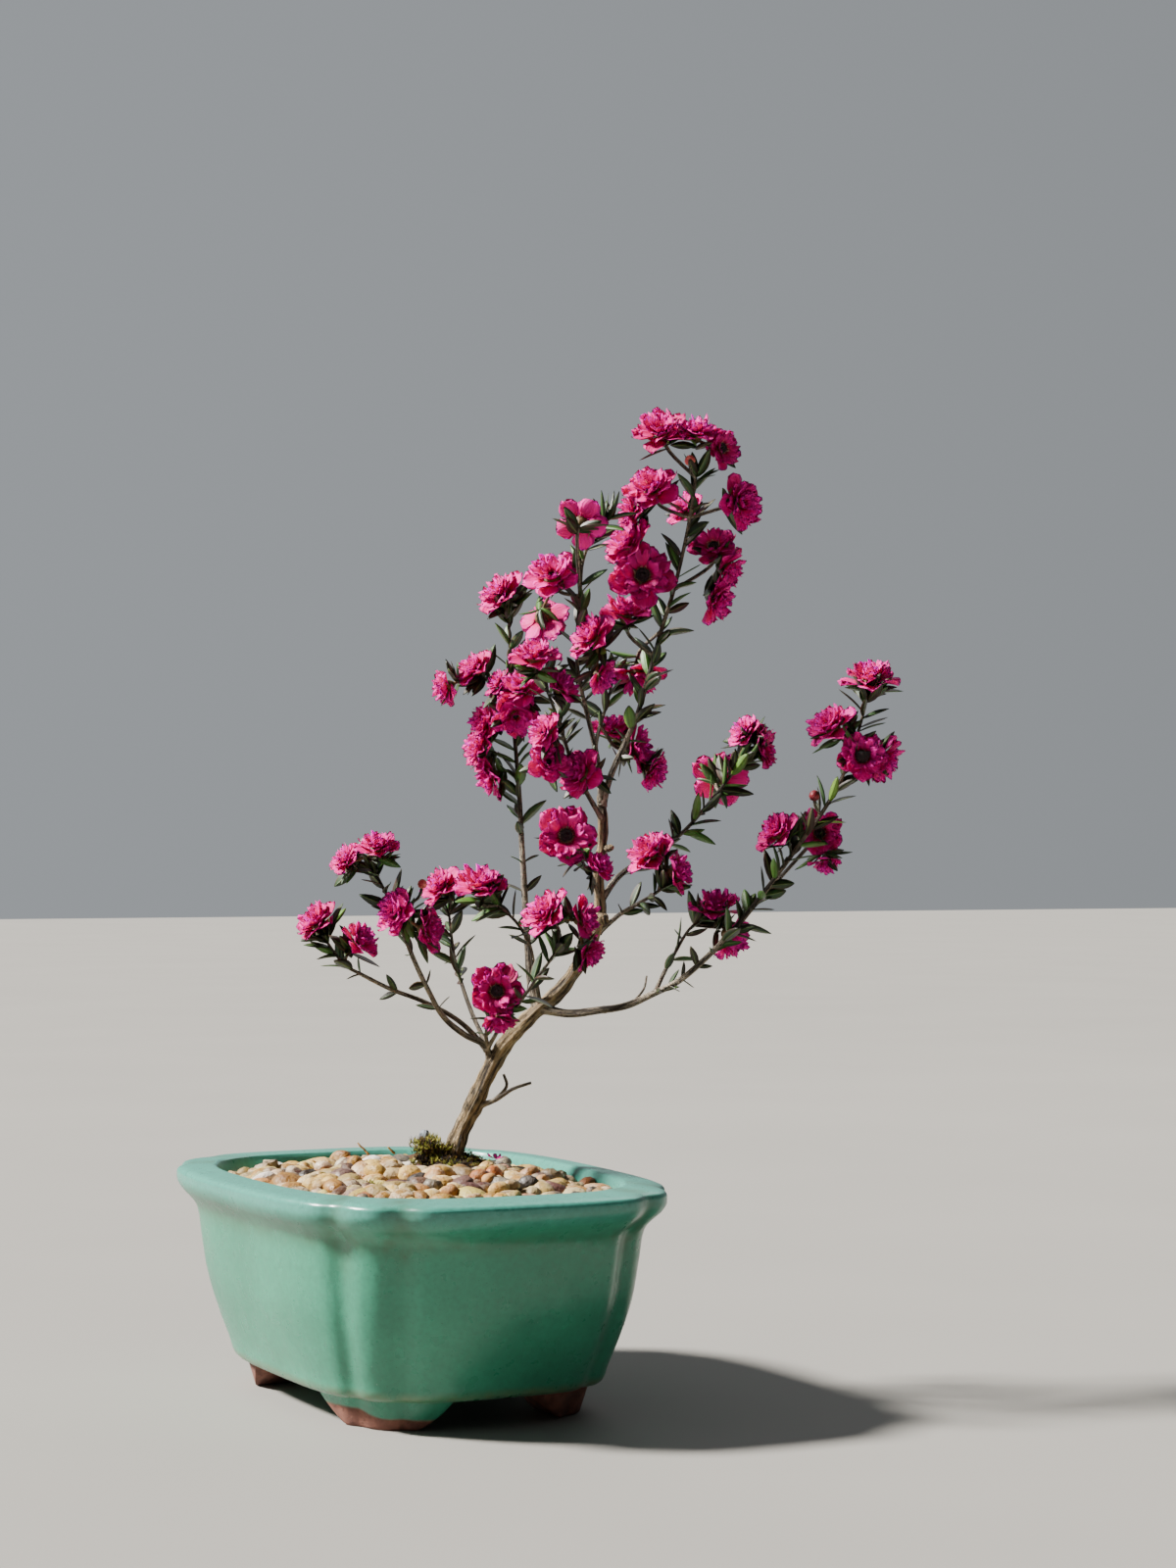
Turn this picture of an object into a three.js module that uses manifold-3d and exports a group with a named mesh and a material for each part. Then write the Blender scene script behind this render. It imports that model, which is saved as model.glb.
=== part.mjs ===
// A burgundy queen tea tree grown as a bonsai, in a glazed pot with four indented corners and bracket feet.
// Millimetres, +Z up. The pot's short side runs along X and its long side along Y.

import * as THREE from 'three';
import Module from 'manifold-3d';
import { mergeVertices } from 'three/addons/utils/BufferGeometryUtils.js';

const wasm = await Module();
wasm.setup();
const { Manifold } = wasm;

// Driving sizes of the pot. The cutters run a little past the faces that they open.
const RIM_HALF_WIDTH = 54;
const RIM_HALF_LENGTH = 79.7;
const POT_HEIGHT = 60;
const LIP_SLOPE = 0.9;
const FOOT_HEIGHT = 7.8;
const FLOOR_TOP = 14;
const GROOVE_DEPTH = 0.026;
const GROOVE_ANGLES = [51, 64.5];
const GROOVE_SPREAD = 3.2;
const SHORT_GAP_HALF = { top: 12, bottom: 20 };
const LONG_GAP_HALF = { top: 23, bottom: 33 };
const DRAIN_RADIUS = 5.5;
const DRAIN_OFFSET = 22;
const DRAIN_SIDES = 8;
const CUT_PAST = 1;

// Fill of the pot
const SEAT = 0.3;
const SOIL_TOP = 49;
const GRAVEL_EDGE = 54;
const GRAVEL_CROWN = 4;
const PEBBLE_SPACING = 11.9;
const PEBBLE_ROW = 0.87 * PEBBLE_SPACING;
const PEBBLE_RISE = 3.2;
const PEBBLE_DEPTH = 5;
const PEBBLE_SHIFT = 0.34;
const PEBBLE_ROW_SHIFT = 0.4;
const PEBBLE_SIZES = [0.7, 1.3];
const PEBBLE_CAP = [0.52, 0.72];
const PEBBLE_UNEVEN = [-0.25, 0.25];
const GRAVEL_SEED = 29;
const MOSS_RADIUS = 12.5;
const MOSS_SEAT = 57.6;
const MOSS_TOP = 64;
const MOSS_LEVELS = [[MOSS_SEAT, 0.94], [60.4, 0.97], [62.6, 0.8], [MOSS_TOP, 0.46]];
const MOSS_SIDES = 14;
const MOSS_LOBES = 3;
const MOSS_LOBE_DEPTH = 0.07;
const ROOT_DEPTH = 41;

// Where the eye stands for the picked places, which are pixels of a 1200 x 1600 picture. The pot's middle is
// at zero, and the picks are measured from an upright plane that faces the eye, a little in front of it.
const PICTURE_MIDDLE = [600, 800];
const EYE_FOCAL = 3200;
const EYE_SIDE = 46.8;
const EYE_DISTANCE = 845.6;
const EYE_HEIGHT = 145.5;
const EYE_TILT = 0.0221;
const PLANE_DISTANCE = 837.7;
const POT_TURN = 0.46;
const UP = new THREE.Vector3(0, 0, 1);

// Directions a flower faces: right, towards the eye, up
const FACE = {
  up: [0, 0.45, 1],
  left: [-1, 0.45, 0.15],
  right: [1, 0.35, 0.15],
  leftUp: [-0.75, 0.55, 0.75],
  rightUp: [0.75, 0.5, 0.75],
  front: [0.1, 1, 0.25],
  frontRight: [0.7, 0.8, 0.1],
  frontUp: [-0.25, 0.8, 0.7],
  frontLeft: [-0.75, 0.8, 0.25],
  frontDown: [0.2, 0.85, -0.4],
  rightDown: [0.85, 0.35, -0.45],
  leftDown: [-0.85, 0.3, -0.4],
  down: [0.1, 0.35, -0.9],
  back: [0.2, -0.9, 0.35],
  backDown: [0.35, -0.6, -0.5],
};

// Branches from the ground up. A pick is the picture's column and row, then how far behind the plane it
// lies. The bare picks belong to the trunk piece. The leafy picks go on from the last bare one, as a shoot.
const BRANCHES = {
  trunk: {
    thick: [4.3, 1.7],
    bare: [
      [450, 1270, 24.5], [459, 1204, 23], [466, 1166, 22], [486, 1121, 21], [513, 1068, 19],
      [545, 1034, 17.5], [576, 1006, 16.5], [602, 964, 15], [612, 937, 14], [611, 900, 13],
      [615, 850, 12.5], [613.5, 812, 12],
    ],
    leafy: [],
  },
  leader: {
    thick: [1.6, 0.7],
    bare: [[614, 822, 12], [623, 792, 11.5], [639, 756, 10.5]],
    leafy: [
      [649, 733, 10], [662, 690, 9], [675.5, 641, 8], [688, 600, 7], [698, 558, 6], [706, 516, 5],
      [710, 486, 4],
    ],
  },
  left_fork: {
    thick: [1.35, 0.6],
    bare: [[613.5, 818, 12], [611, 782, 10], [603, 745, 7], [596, 716, 4]],
    leafy: [[590, 688, 2], [589, 650, 0], [592, 606, -2], [595, 572, -3], [606, 546, -4], [620, 530, -5]],
  },
  back_fork: {
    thick: [1.1, 0.6],
    bare: [[611, 790, 10.5], [608, 764, 13], [612, 742, 17]],
    leafy: [[618, 722, 20], [623, 704, 22], [627, 688, 24]],
  },
  inner: {
    thick: [1.2, 0.6],
    bare: [[614, 836, 12.3], [597, 806, 4], [585, 783, -2]],
    leafy: [[575, 752, -6], [567, 728, -8], [559, 706, -10], [555, 690, -12]],
  },
  tall_left: {
    thick: [1.9, 0.6],
    bare: [[548, 1031, 17.3], [542, 1004, 19], [538, 960, 22], [535, 905, 24.5], [532, 852, 26]],
    leafy: [[530, 812, 27], [527, 774, 27.5], [523, 728, 28], [521, 690, 28], [520, 655, 27], [519, 630, 26]],
  },
  second_left: {
    thick: [1.1, 0.6],
    bare: [[551, 1028, 17], [546, 994, 13], [540, 964, 9]],
    leafy: [[530, 945, 6], [518, 932, 4], [508, 924, 3]],
  },
  left_front: {
    thick: [1.7, 0.6],
    bare: [
      [501, 1092, 20.3], [496, 1068, 17], [474, 1056, 10], [452, 1037, 2], [437, 1011, -5], [420, 974, -11],
    ],
    leafy: [[409, 947, -15], [399, 922, -18], [389, 902, -20], [382, 888, -21]],
  },
  left_outer: {
    thick: [1.3, 0.6],
    bare: [
      [497, 1071, 17.3], [470, 1043, 16], [432, 1022, 14], [398, 1009, 12.5], [368, 994, 11],
    ],
    leafy: [[352, 985, 10], [342, 973, 9.5], [333, 960, 9]],
  },
  left_back: {
    thick: [1.1, 0.6],
    bare: [[495, 1064, 16.5], [481, 1032, 21], [471, 1004, 25]],
    leafy: [[464, 978, 28], [460, 950, 30], [458, 930, 31]],
  },
  low_front: {
    thick: [1.0, 0.6],
    bare: [[497, 1068, 17], [496, 1055, 12]],
    leafy: [[497, 1046, 8.5], [499, 1036, 6]],
  },
  centre_front: {
    thick: [1.0, 0.6],
    bare: [[497, 1070, 17.2], [512, 1046, 9], [531, 1022, 1]],
    leafy: [[547, 999, -4], [560, 982, -7], [568, 970, -8]],
  },
  centre: {
    thick: [0.9, 0.6],
    bare: [[611, 915, 13.2], [606, 900, 9]],
    leafy: [[600, 888, 5], [592, 876, 1.5]],
  },
  right_long: {
    thick: [2.0, 0.6],
    bare: [
      [553, 1029, 17.2], [580, 1034, 14.5], [612, 1031, 10], [640, 1026, 6], [667, 1014, 2], [694, 1000, -2],
      [726, 972, -6],
    ],
    leafy: [
      [758, 938, -9], [790, 897, -11], [817, 860, -12], [846, 818, -12], [864, 782, -11], [877, 742, -10],
      [885, 712, -9],
    ],
  },
  right_low: {
    thick: [1.0, 0.6],
    bare: [[668, 1013.5, 1.8], [679, 990, 5]],
    leafy: [[690, 970, 8], [702, 950, 11], [712, 940, 12.5]],
  },
  mid_low_right: {
    thick: [1.2, 0.6],
    bare: [[611, 951, 14.4], [634, 932, 10]],
    leafy: [[653, 921, 7], [668, 912, 5], [678, 905, 4]],
  },
  mid_right: {
    thick: [1.5, 0.6],
    bare: [[612, 921, 13.5], [630, 896, 17], [654, 878, 21], [676, 865, 24]],
    leafy: [[698, 848, 27], [718, 826, 30], [740, 799, 33], [756, 779, 35]],
  },
  dead_twig: {
    thick: [0.75, 0.4],
    bare: [[490, 1128, 20.7], [506, 1122, 18], [524, 1111, 16], [542, 1105, 15]],
    leafy: [],
  },
  dead_curl: {
    thick: [0.6, 0.4],
    bare: [[506, 1122, 18], [517, 1108, 18.5], [514, 1096, 19]],
    leafy: [],
  },
  stray_twig: {
    thick: [0.6, 0.4],
    bare: [[646, 1023, 5], [657, 1009, 7], [660, 996, 9]],
    leafy: [],
  },
};

// Blooms: flowers that touch are one piece. A flower is its column, row, width in pixels, place behind the
// plane and the way it faces, on the shoot that carries it.
const BLOOMS = {
  bloom_left_top: ['left_front', [[353, 877, 32, -22, 'leftUp'], [385, 864, 40, -24, 'up']]],
  bloom_left_mid: ['left_front', [[404, 931, 46, -25, 'frontLeft'], [437, 948, 42, -25, 'right']]],
  bloom_far_left: ['left_outer', [[323, 940, 46, 9, 'leftUp']]],
  bloom_left_low: ['left_outer', [[367, 960, 40, 5, 'rightUp']]],
  bloom_left_inner: ['left_back', [[450, 905, 42, 29, 'leftUp']]],
  bloom_left_crown: ['second_left', [[490, 902, 55, 3, 'up']]],
  bloom_low_front: ['low_front', [[507, 1011, 58, 0, 'front'], [510, 1041, 32, 0, 'down']]],
  bloom_centre_front: ['centre_front', [
    [555, 931, 60, -12, 'leftUp'], [596, 938, 42, -11, 'right'], [601, 972, 36, -9, 'rightDown'],
  ]],
  bloom_centre: ['centre', [[578, 852, 66, -2, 'front'], [611, 884, 32, -3, 'rightUp']]],
  bloom_tall_low: ['tall_left', [
    [500, 793, 42, 27, 'leftDown'], [490, 764, 44, 27, 'left'], [496, 739, 44, 26, 'left'],
  ]],
  bloom_tall_high: ['tall_left', [
    [526, 730, 44, 18, 'frontDown'], [532, 702, 52, 17, 'frontUp'], [509, 697, 28, 21, 'leftUp'],
  ]],
  bloom_tall_out: ['tall_left', [[484, 682, 38, 27, 'leftUp'], [455, 701, 36, 27, 'leftDown']]],
  bloom_tall_top: ['tall_left', [[510, 605, 52, 24, 'leftUp']]],
  bloom_inner_top: ['inner', [[546, 668, 56, -19, 'up'], [573, 700, 36, -15, 'rightUp']]],
  bloom_inner_low: ['inner', [[556, 748, 38, -12, 'frontLeft'], [560, 778, 38, -9, 'front']]],
  bloom_heart: ['inner', [[592, 789, 54, -8, 'frontLeft']]],
  bloom_back_low: ['back_fork', [
    [651, 763, 46, 22, 'right'], [624, 744, 40, 26, 'up'], [667, 787, 36, 22, 'rightDown'],
  ]],
  bloom_fork_mid: ['left_fork', [[603, 649, 58, -8, 'leftUp'], [614, 690, 34, -5, 'rightDown']]],
  bloom_fork_low: ['left_fork', [[563, 586, 60, -4, 'frontUp'], [556, 634, 56, 5, 'backDown']]],
  bloom_fork_top: ['left_fork', [[593, 533, 50, -10, 'back']]],
  bloom_leader_low: ['leader', [[651, 692, 60, 22, 'down']]],
  bloom_leader_left: ['leader', [[638, 624, 48, 4, 'up']]],
  bloom_leader_front: ['leader', [[640, 553, 58, 2, 'leftUp'], [656, 586, 70, -1, 'front']]],
  bloom_leader_upper: ['leader', [
    [665, 497, 60, 3, 'frontUp'], [645, 522, 38, 5, 'left'], [700, 520, 36, 18, 'leftUp'],
  ]],
  bloom_crown: ['leader', [
    [674, 439, 58, 3, 'frontUp'], [710, 441, 44, 4, 'up'], [737, 457, 38, 5, 'frontRight'],
  ]],
  bloom_leader_right: ['leader', [[756, 513, 54, 6, 'frontRight']]],
  bloom_right_trio: ['leader', [
    [728, 557, 46, 7, 'frontUp'], [743, 581, 42, 7, 'rightDown'], [732, 614, 44, 8, 'rightDown'],
  ]],
  bloom_long_tip: ['right_long', [[888, 690, 62, -9, 'up']]],
  bloom_long_left: ['right_long', [[847, 740, 54, -10, 'leftUp']]],
  bloom_long_right: ['right_long', [[903, 775, 48, -8, 'rightDown']]],
  bloom_long_mid: ['right_long', [[793, 849, 48, -11, 'leftUp']]],
  bloom_long_dark: ['right_long', [[836, 850, 44, -4, 'front'], [842, 880, 28, -4, 'down']]],
  bloom_low_right: ['right_low', [[732, 924, 54, 11, 'up'], [748, 956, 50, 9, 'rightDown']]],
  bloom_mid_out: ['mid_right', [[780, 761, 42, 36, 'right'], [760, 748, 34, 36, 'leftUp']]],
  bloom_mid_back: ['mid_right', [[734, 794, 56, 41, 'back']]],
  bloom_mid_low: ['mid_low_right', [[662, 870, 54, 5, 'leftUp'], [691, 890, 40, 2, 'right']]],
};

// Buds and a spent seed capsule, round knobs on their shoots: column, row, place behind the plane, radius
const BUDS = {
  left_front: [[431, 902, -20, 1.3]],
  right_long: [[831, 812, -13, 1.5], [880, 771, -14, 2.1]],
  leader: [[704, 470, 1, 1.5]],
};

const COLOURS = {
  glaze: { color: 0x4f927b, roughness: 0.35 },
  soil: { color: 0x2d221b, roughness: 1 },
  gravel: { color: 0xb9a283, roughness: 0.75 },
  moss: { color: 0x5b5a22, roughness: 1 },
  bark: { color: 0x9a8468, roughness: 0.85 },
  chip: { color: 0x8f7d69, roughness: 0.95 },
  petal: { color: 0xd3136f, roughness: 0.55 },
  leaf: { color: 0x35512a, roughness: 0.5 },
};

// A repeatable stream of numbers between 0 and 1
function seededDraw(seed) {
  let state = seed;
  return () => {
    state = (state * 1103515245 + 12345) % 2147483648;
    return state / 2147483648;
  };
}

function mix(a, b, t) {
  return a + (b - a) * t;
}

// Solid geometry helpers

function solidOf(vertices, triangles) {
  const vertProperties = new Float32Array(vertices.flat());
  const triVerts = new Uint32Array(triangles.flat());
  return new Manifold(new wasm.Mesh({ numProp: 3, vertProperties, triVerts }));
}

function solidFromGeometry(geometry) {
  const bare = geometry.clone();
  bare.deleteAttribute('normal');
  bare.deleteAttribute('uv');
  const merged = mergeVertices(bare, 1e-4);
  const vertProperties = new Float32Array(merged.attributes.position.array);
  const triVerts = new Uint32Array(merged.index.array);
  return new Manifold(new wasm.Mesh({ numProp: 3, vertProperties, triVerts }));
}

function geometryOf(solid) {
  const mesh = solid.getMesh();
  const geometry = new THREE.BufferGeometry();
  geometry.setAttribute('position', new THREE.BufferAttribute(mesh.vertProperties, 3));
  geometry.setIndex(new THREE.BufferAttribute(mesh.triVerts, 1));
  return geometry;
}

// The largest single body of a solid, so that no loose scrap stays
function mainBody(solid) {
  const bodies = solid.decompose();
  return bodies.reduce((best, body) => (body.volume() > best.volume() ? body : best));
}

// A closed skin through rings of points that all have the same count, flat at both ends
function loft(rings) {
  const count = rings[0].length;
  const triangles = [];
  for (let level = 0; level + 1 < rings.length; level += 1) {
    for (let i = 0; i < count; i += 1) {
      const a = level * count + i;
      const b = level * count + ((i + 1) % count);
      triangles.push([a, b, b + count], [a, b + count, a + count]);
    }
  }
  const last = (rings.length - 1) * count;
  for (let i = 1; i + 1 < count; i += 1) {
    triangles.push([0, i + 1, i], [last, last + i, last + i + 1]);
  }
  return solidOf(rings.flat(), triangles);
}

// Joins two closed rings of different counts, or a ring and a point, walking round both by share of the turn
function bridge(lower, upper, triangles) {
  const lowerSteps = lower.length > 1 ? lower.length : 0;
  const upperSteps = upper.length > 1 ? upper.length : 0;
  let i = 0;
  let j = 0;
  while (i < lowerSteps || j < upperSteps) {
    const a = lower[i % lower.length];
    const b = upper[j % upper.length];
    if (j >= upperSteps || (i < lowerSteps && (i + 1) / lowerSteps <= (j + 1) / upperSteps)) {
      i += 1;
      triangles.push([a, lower[i % lower.length], b]);
    } else {
      j += 1;
      triangles.push([a, upper[j % upper.length], b]);
    }
  }
}

// The place of a pick in the part's frame
function spot([column, row, behind]) {
  const ahead = behind + PLANE_DISTANCE;
  const slope = Math.atan((PICTURE_MIDDLE[1] - row) / EYE_FOCAL);
  const rise = ahead * Math.tan(EYE_TILT + slope);
  const depth = ahead * Math.cos(EYE_TILT) + rise * Math.sin(EYE_TILT);
  const side = ((column - PICTURE_MIDDLE[0]) / EYE_FOCAL) * depth;
  const place = new THREE.Vector3(EYE_SIDE + side, ahead - EYE_DISTANCE, EYE_HEIGHT + rise);
  return place.applyAxisAngle(UP, -POT_TURN);
}

const TRUNK_FOOT = spot([463, 1180, 22.4]);

function facing(name) {
  const [right, towards, up] = FACE[name];
  return new THREE.Vector3(right, -towards, up).applyAxisAngle(UP, -POT_TURN).normalize();
}

// Two unit directions square to a given one
function crossAxes(direction) {
  const helper = Math.abs(direction.z) < 0.9 ? UP : new THREE.Vector3(1, 0, 0);
  const first = new THREE.Vector3().crossVectors(helper, direction).normalize();
  const second = new THREE.Vector3().crossVectors(direction, first);
  return [first, second];
}

// Pot: a bow-sided rectangle in plan, squarer towards the foot, with a groove either side of each corner

const CORNER_STATIONS = [0, 20, 42, 51, 57, 64.5, 70, 79, 90];
const RIM_SHARPNESS = 3.18;
const FOOT_SHARPNESS = 3.52;

function planAngles() {
  const angles = [];
  for (const start of [0, 180]) {
    for (const station of CORNER_STATIONS) {
      angles.push(start + station);
    }
    for (const station of [...CORNER_STATIONS].reverse()) {
      angles.push(start + 180 - station);
    }
  }
  return [...new Set(angles.map((angle) => angle % 360))].sort((a, b) => a - b);
}

function grooveCut(angle) {
  const folded = Math.abs(((angle + 90) % 180) - 90);
  const cuts = GROOVE_ANGLES.map((at) => Math.exp(-(((folded - at) / GROOVE_SPREAD) ** 2)));
  return 1 - GROOVE_DEPTH * cuts.reduce((sum, cut) => sum + cut, 0);
}

// Distance from the middle to the plan outline at an angle, for a share of the rim's size and a sharpness
function planRadius(angle, share, sharpness, grooved) {
  const turn = THREE.MathUtils.degToRad(angle);
  const across = Math.abs(Math.cos(turn) / RIM_HALF_WIDTH) ** sharpness;
  const along = Math.abs(Math.sin(turn) / RIM_HALF_LENGTH) ** sharpness;
  return share * (across + along) ** (-1 / sharpness) * (grooved ? grooveCut(angle) : 1);
}

function sharpnessAt(height) {
  const down = (POT_HEIGHT - height) / (POT_HEIGHT - FOOT_HEIGHT);
  return mix(RIM_SHARPNESS, FOOT_SHARPNESS, down ** 2);
}

function planRing(height, share, inset = 0, grooved = true) {
  return planAngles().map((angle) => {
    const radius = planRadius(angle, share, sharpnessAt(height), grooved) - inset;
    const turn = THREE.MathUtils.degToRad(angle);
    return [radius * Math.cos(turn), radius * Math.sin(turn), height];
  });
}

// The outer wall from the underside up: height, then share of the rim's size
const OUTER_WALL = [
  [FOOT_HEIGHT, 0.714], [9.2, 0.738], [12.7, 0.758], [20, 0.805], [30, 0.86], [40, 0.888], [47, 0.904],
  [50, 0.926], [51.6, 0.944], [53.5, 0.975], [55.6, 1], [POT_HEIGHT - LIP_SLOPE - 0.5, 1],
  [POT_HEIGHT - LIP_SLOPE, 0.985], [POT_HEIGHT, 0.837],
];

// The cavity from its floor to past the lip
const INNER_WALL = [
  [FLOOR_TOP, 0.64], [18, 0.69], [36, 0.765], [54, 0.8], [POT_HEIGHT - LIP_SLOPE, 0.817],
  [POT_HEIGHT + CUT_PAST, 0.845],
];

// The ring of clay under the pot that the gaps cut into four feet: height, then share of the rim's size
const FOOT_OUTER = [[0, 0.645], [FOOT_HEIGHT, 0.672], [FOOT_HEIGHT + 0.8, 0.69]];
const FOOT_INNER = [[-CUT_PAST, 0.48], [FOOT_HEIGHT, 0.5]];

function innerShare(height) {
  const index = Math.max(1, INNER_WALL.findIndex(([level]) => level >= height));
  const [lowLevel, lowShare] = INNER_WALL[index - 1];
  const [highLevel, highShare] = INNER_WALL[index];
  return mix(lowShare, highShare, (height - lowLevel) / (highLevel - lowLevel));
}

// A straight channel under the pot, wider at the ground, whose sloped ends shape the feet
function footGap(half, length) {
  const shape = new THREE.Shape();
  shape.moveTo(-half.bottom - CUT_PAST, -CUT_PAST);
  shape.lineTo(half.bottom + CUT_PAST, -CUT_PAST);
  shape.lineTo(half.top, FOOT_HEIGHT);
  shape.lineTo(-half.top, FOOT_HEIGHT);
  shape.closePath();
  const geometry = new THREE.ExtrudeGeometry(shape, { depth: length, bevelEnabled: false });
  geometry.translate(0, 0, -length / 2);
  geometry.rotateX(Math.PI / 2);
  return geometry;
}

function makePot() {
  const body = loft(OUTER_WALL.map(([height, share]) => planRing(height, share)));
  const cavity = loft(INNER_WALL.map(([height, share]) => planRing(height, share, 0, false)));
  const feet = loft(FOOT_OUTER.map(([height, share]) => planRing(height, share)));
  const hollow = loft(FOOT_INNER.map(([height, share]) => planRing(height, share)));
  const across = solidFromGeometry(footGap(SHORT_GAP_HALF, 3 * RIM_HALF_LENGTH));
  const along = solidFromGeometry(footGap(LONG_GAP_HALF, 3 * RIM_HALF_WIDTH).rotateZ(Math.PI / 2));
  let pot = body.add(feet.subtract(hollow).subtract(across).subtract(along)).subtract(cavity);
  for (const side of [-1, 1]) {
    const drain = new THREE.CylinderGeometry(DRAIN_RADIUS, DRAIN_RADIUS, 3 * FLOOR_TOP, DRAIN_SIDES);
    drain.rotateX(Math.PI / 2);
    drain.translate(0, side * DRAIN_OFFSET, FLOOR_TOP / 2);
    pot = pot.subtract(solidFromGeometry(drain));
  }
  return pot;
}

// Wood

// A tapering limb through places along a curve, with a ring of corners at each and flat ends
function limb(places, radii, sides, endDirection = null) {
  let [first] = crossAxes(places[1].clone().sub(places[0]).normalize());
  const rings = places.map((place, i) => {
    const before = places[Math.max(i - 1, 0)];
    const after = places[Math.min(i + 1, places.length - 1)];
    const isEnd = endDirection && i === places.length - 1;
    const along = isEnd ? endDirection.clone() : after.clone().sub(before).normalize();
    first = first.clone().addScaledVector(along, -first.dot(along)).normalize();
    const second = new THREE.Vector3().crossVectors(along, first);
    return Array.from({ length: sides }, (_, k) => {
      const turn = (2 * Math.PI * k) / sides;
      const corner = place.clone();
      corner.addScaledVector(first, radii[i] * Math.cos(turn));
      corner.addScaledVector(second, radii[i] * Math.sin(turn));
      return corner.toArray();
    });
  });
  return loft(rings);
}

function branchCurve(branch) {
  const places = [...branch.bare, ...branch.leafy].map(spot);
  return new THREE.CatmullRomCurve3(places, false, 'centripetal');
}

// The share of the curve's run at which the bare wood ends
function bareShare(branch) {
  return (branch.bare.length - 1) / (branch.bare.length + branch.leafy.length - 1);
}

function branchRadius(branch, t) {
  return mix(branch.thick[0], branch.thick[1], t ** 0.8);
}

// The places along a stretch of a branch. A leafy stretch starts a seat's gap past the bare wood.
function stretchPlaces(branch, from, to) {
  const curve = branchCurve(branch);
  const picks = branch.bare.length + branch.leafy.length - 1;
  const steps = Math.max(2, Math.round((to - from) * picks));
  const places = Array.from({ length: steps + 1 }, (_, i) => curve.getPoint(mix(from, to, i / steps)));
  if (from > 0) {
    places[0].addScaledVector(curve.getTangent(from), SEAT);
  }
  return places;
}

function stretchOf(branch, from, to, sides, grow = 0) {
  const places = stretchPlaces(branch, from, to);
  const radii = places.map((_, i) => branchRadius(branch, mix(from, to, i / (places.length - 1))) + grow);
  return limb(places, radii, sides);
}

// More corners round a thicker branch
function sidesOf(branch) {
  if (branch === BRANCHES.trunk) {
    return 8;
  }
  return branch.thick[0] > 1.2 ? 5 : 4;
}

// Everything round the trunk's foot below a height
function below(height) {
  const size = 60;
  const block = new THREE.BoxGeometry(size, size, size);
  block.translate(TRUNK_FOOT.x, TRUNK_FOOT.y, height - size / 2);
  return solidFromGeometry(block);
}

function makeTrunk() {
  const limbs = Object.values(BRANCHES).map((branch) => {
    const end = branch.leafy.length ? bareShare(branch) : 1;
    return stretchOf(branch, 0, end, sidesOf(branch));
  });
  return mainBody(Manifold.union(limbs).subtract(below(ROOT_DEPTH)));
}

// The plain hole that the trunk stands in
function rootHole() {
  const { trunk } = BRANCHES;
  return stretchOf(trunk, 0, 1, sidesOf(trunk), SEAT + 0.05).subtract(below(ROOT_DEPTH - SEAT));
}

// Flowers

const STALK_RADIUS = 0.62;
const SMALL_FLOWER = 5.7;
const FLOWER_SEED = 101;
const SEED_STEP = 7;

// A flower's rings, as shares of its radius: distance from its axis, then height above the cup's base
const FLOWER_RINGS = {
  cupFoot: [0.17, 0],
  cupTop: [0.27, 0.27],
  petalNotch: [0.42, 0.4],
  crownFoot: [0.36, 0.5],
  crownNotch: [0.4, 0.66],
  middle: [0, 0.5],
};

// The range of each petal's size, as shares of the flower's radius
const PETAL_REACH = [0.9, 1.04];
const PETAL_SHOULDER = 0.9;
const PETAL_HEIGHT = [0.42, 0.58];
const PETAL_LIFT = 0.06;
const PETAL_WAVE = [-0.05, 0.05];
const CROWN_REACH = [0.6, 0.72];
const CROWN_HEIGHT = [0.82, 0.98];

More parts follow.
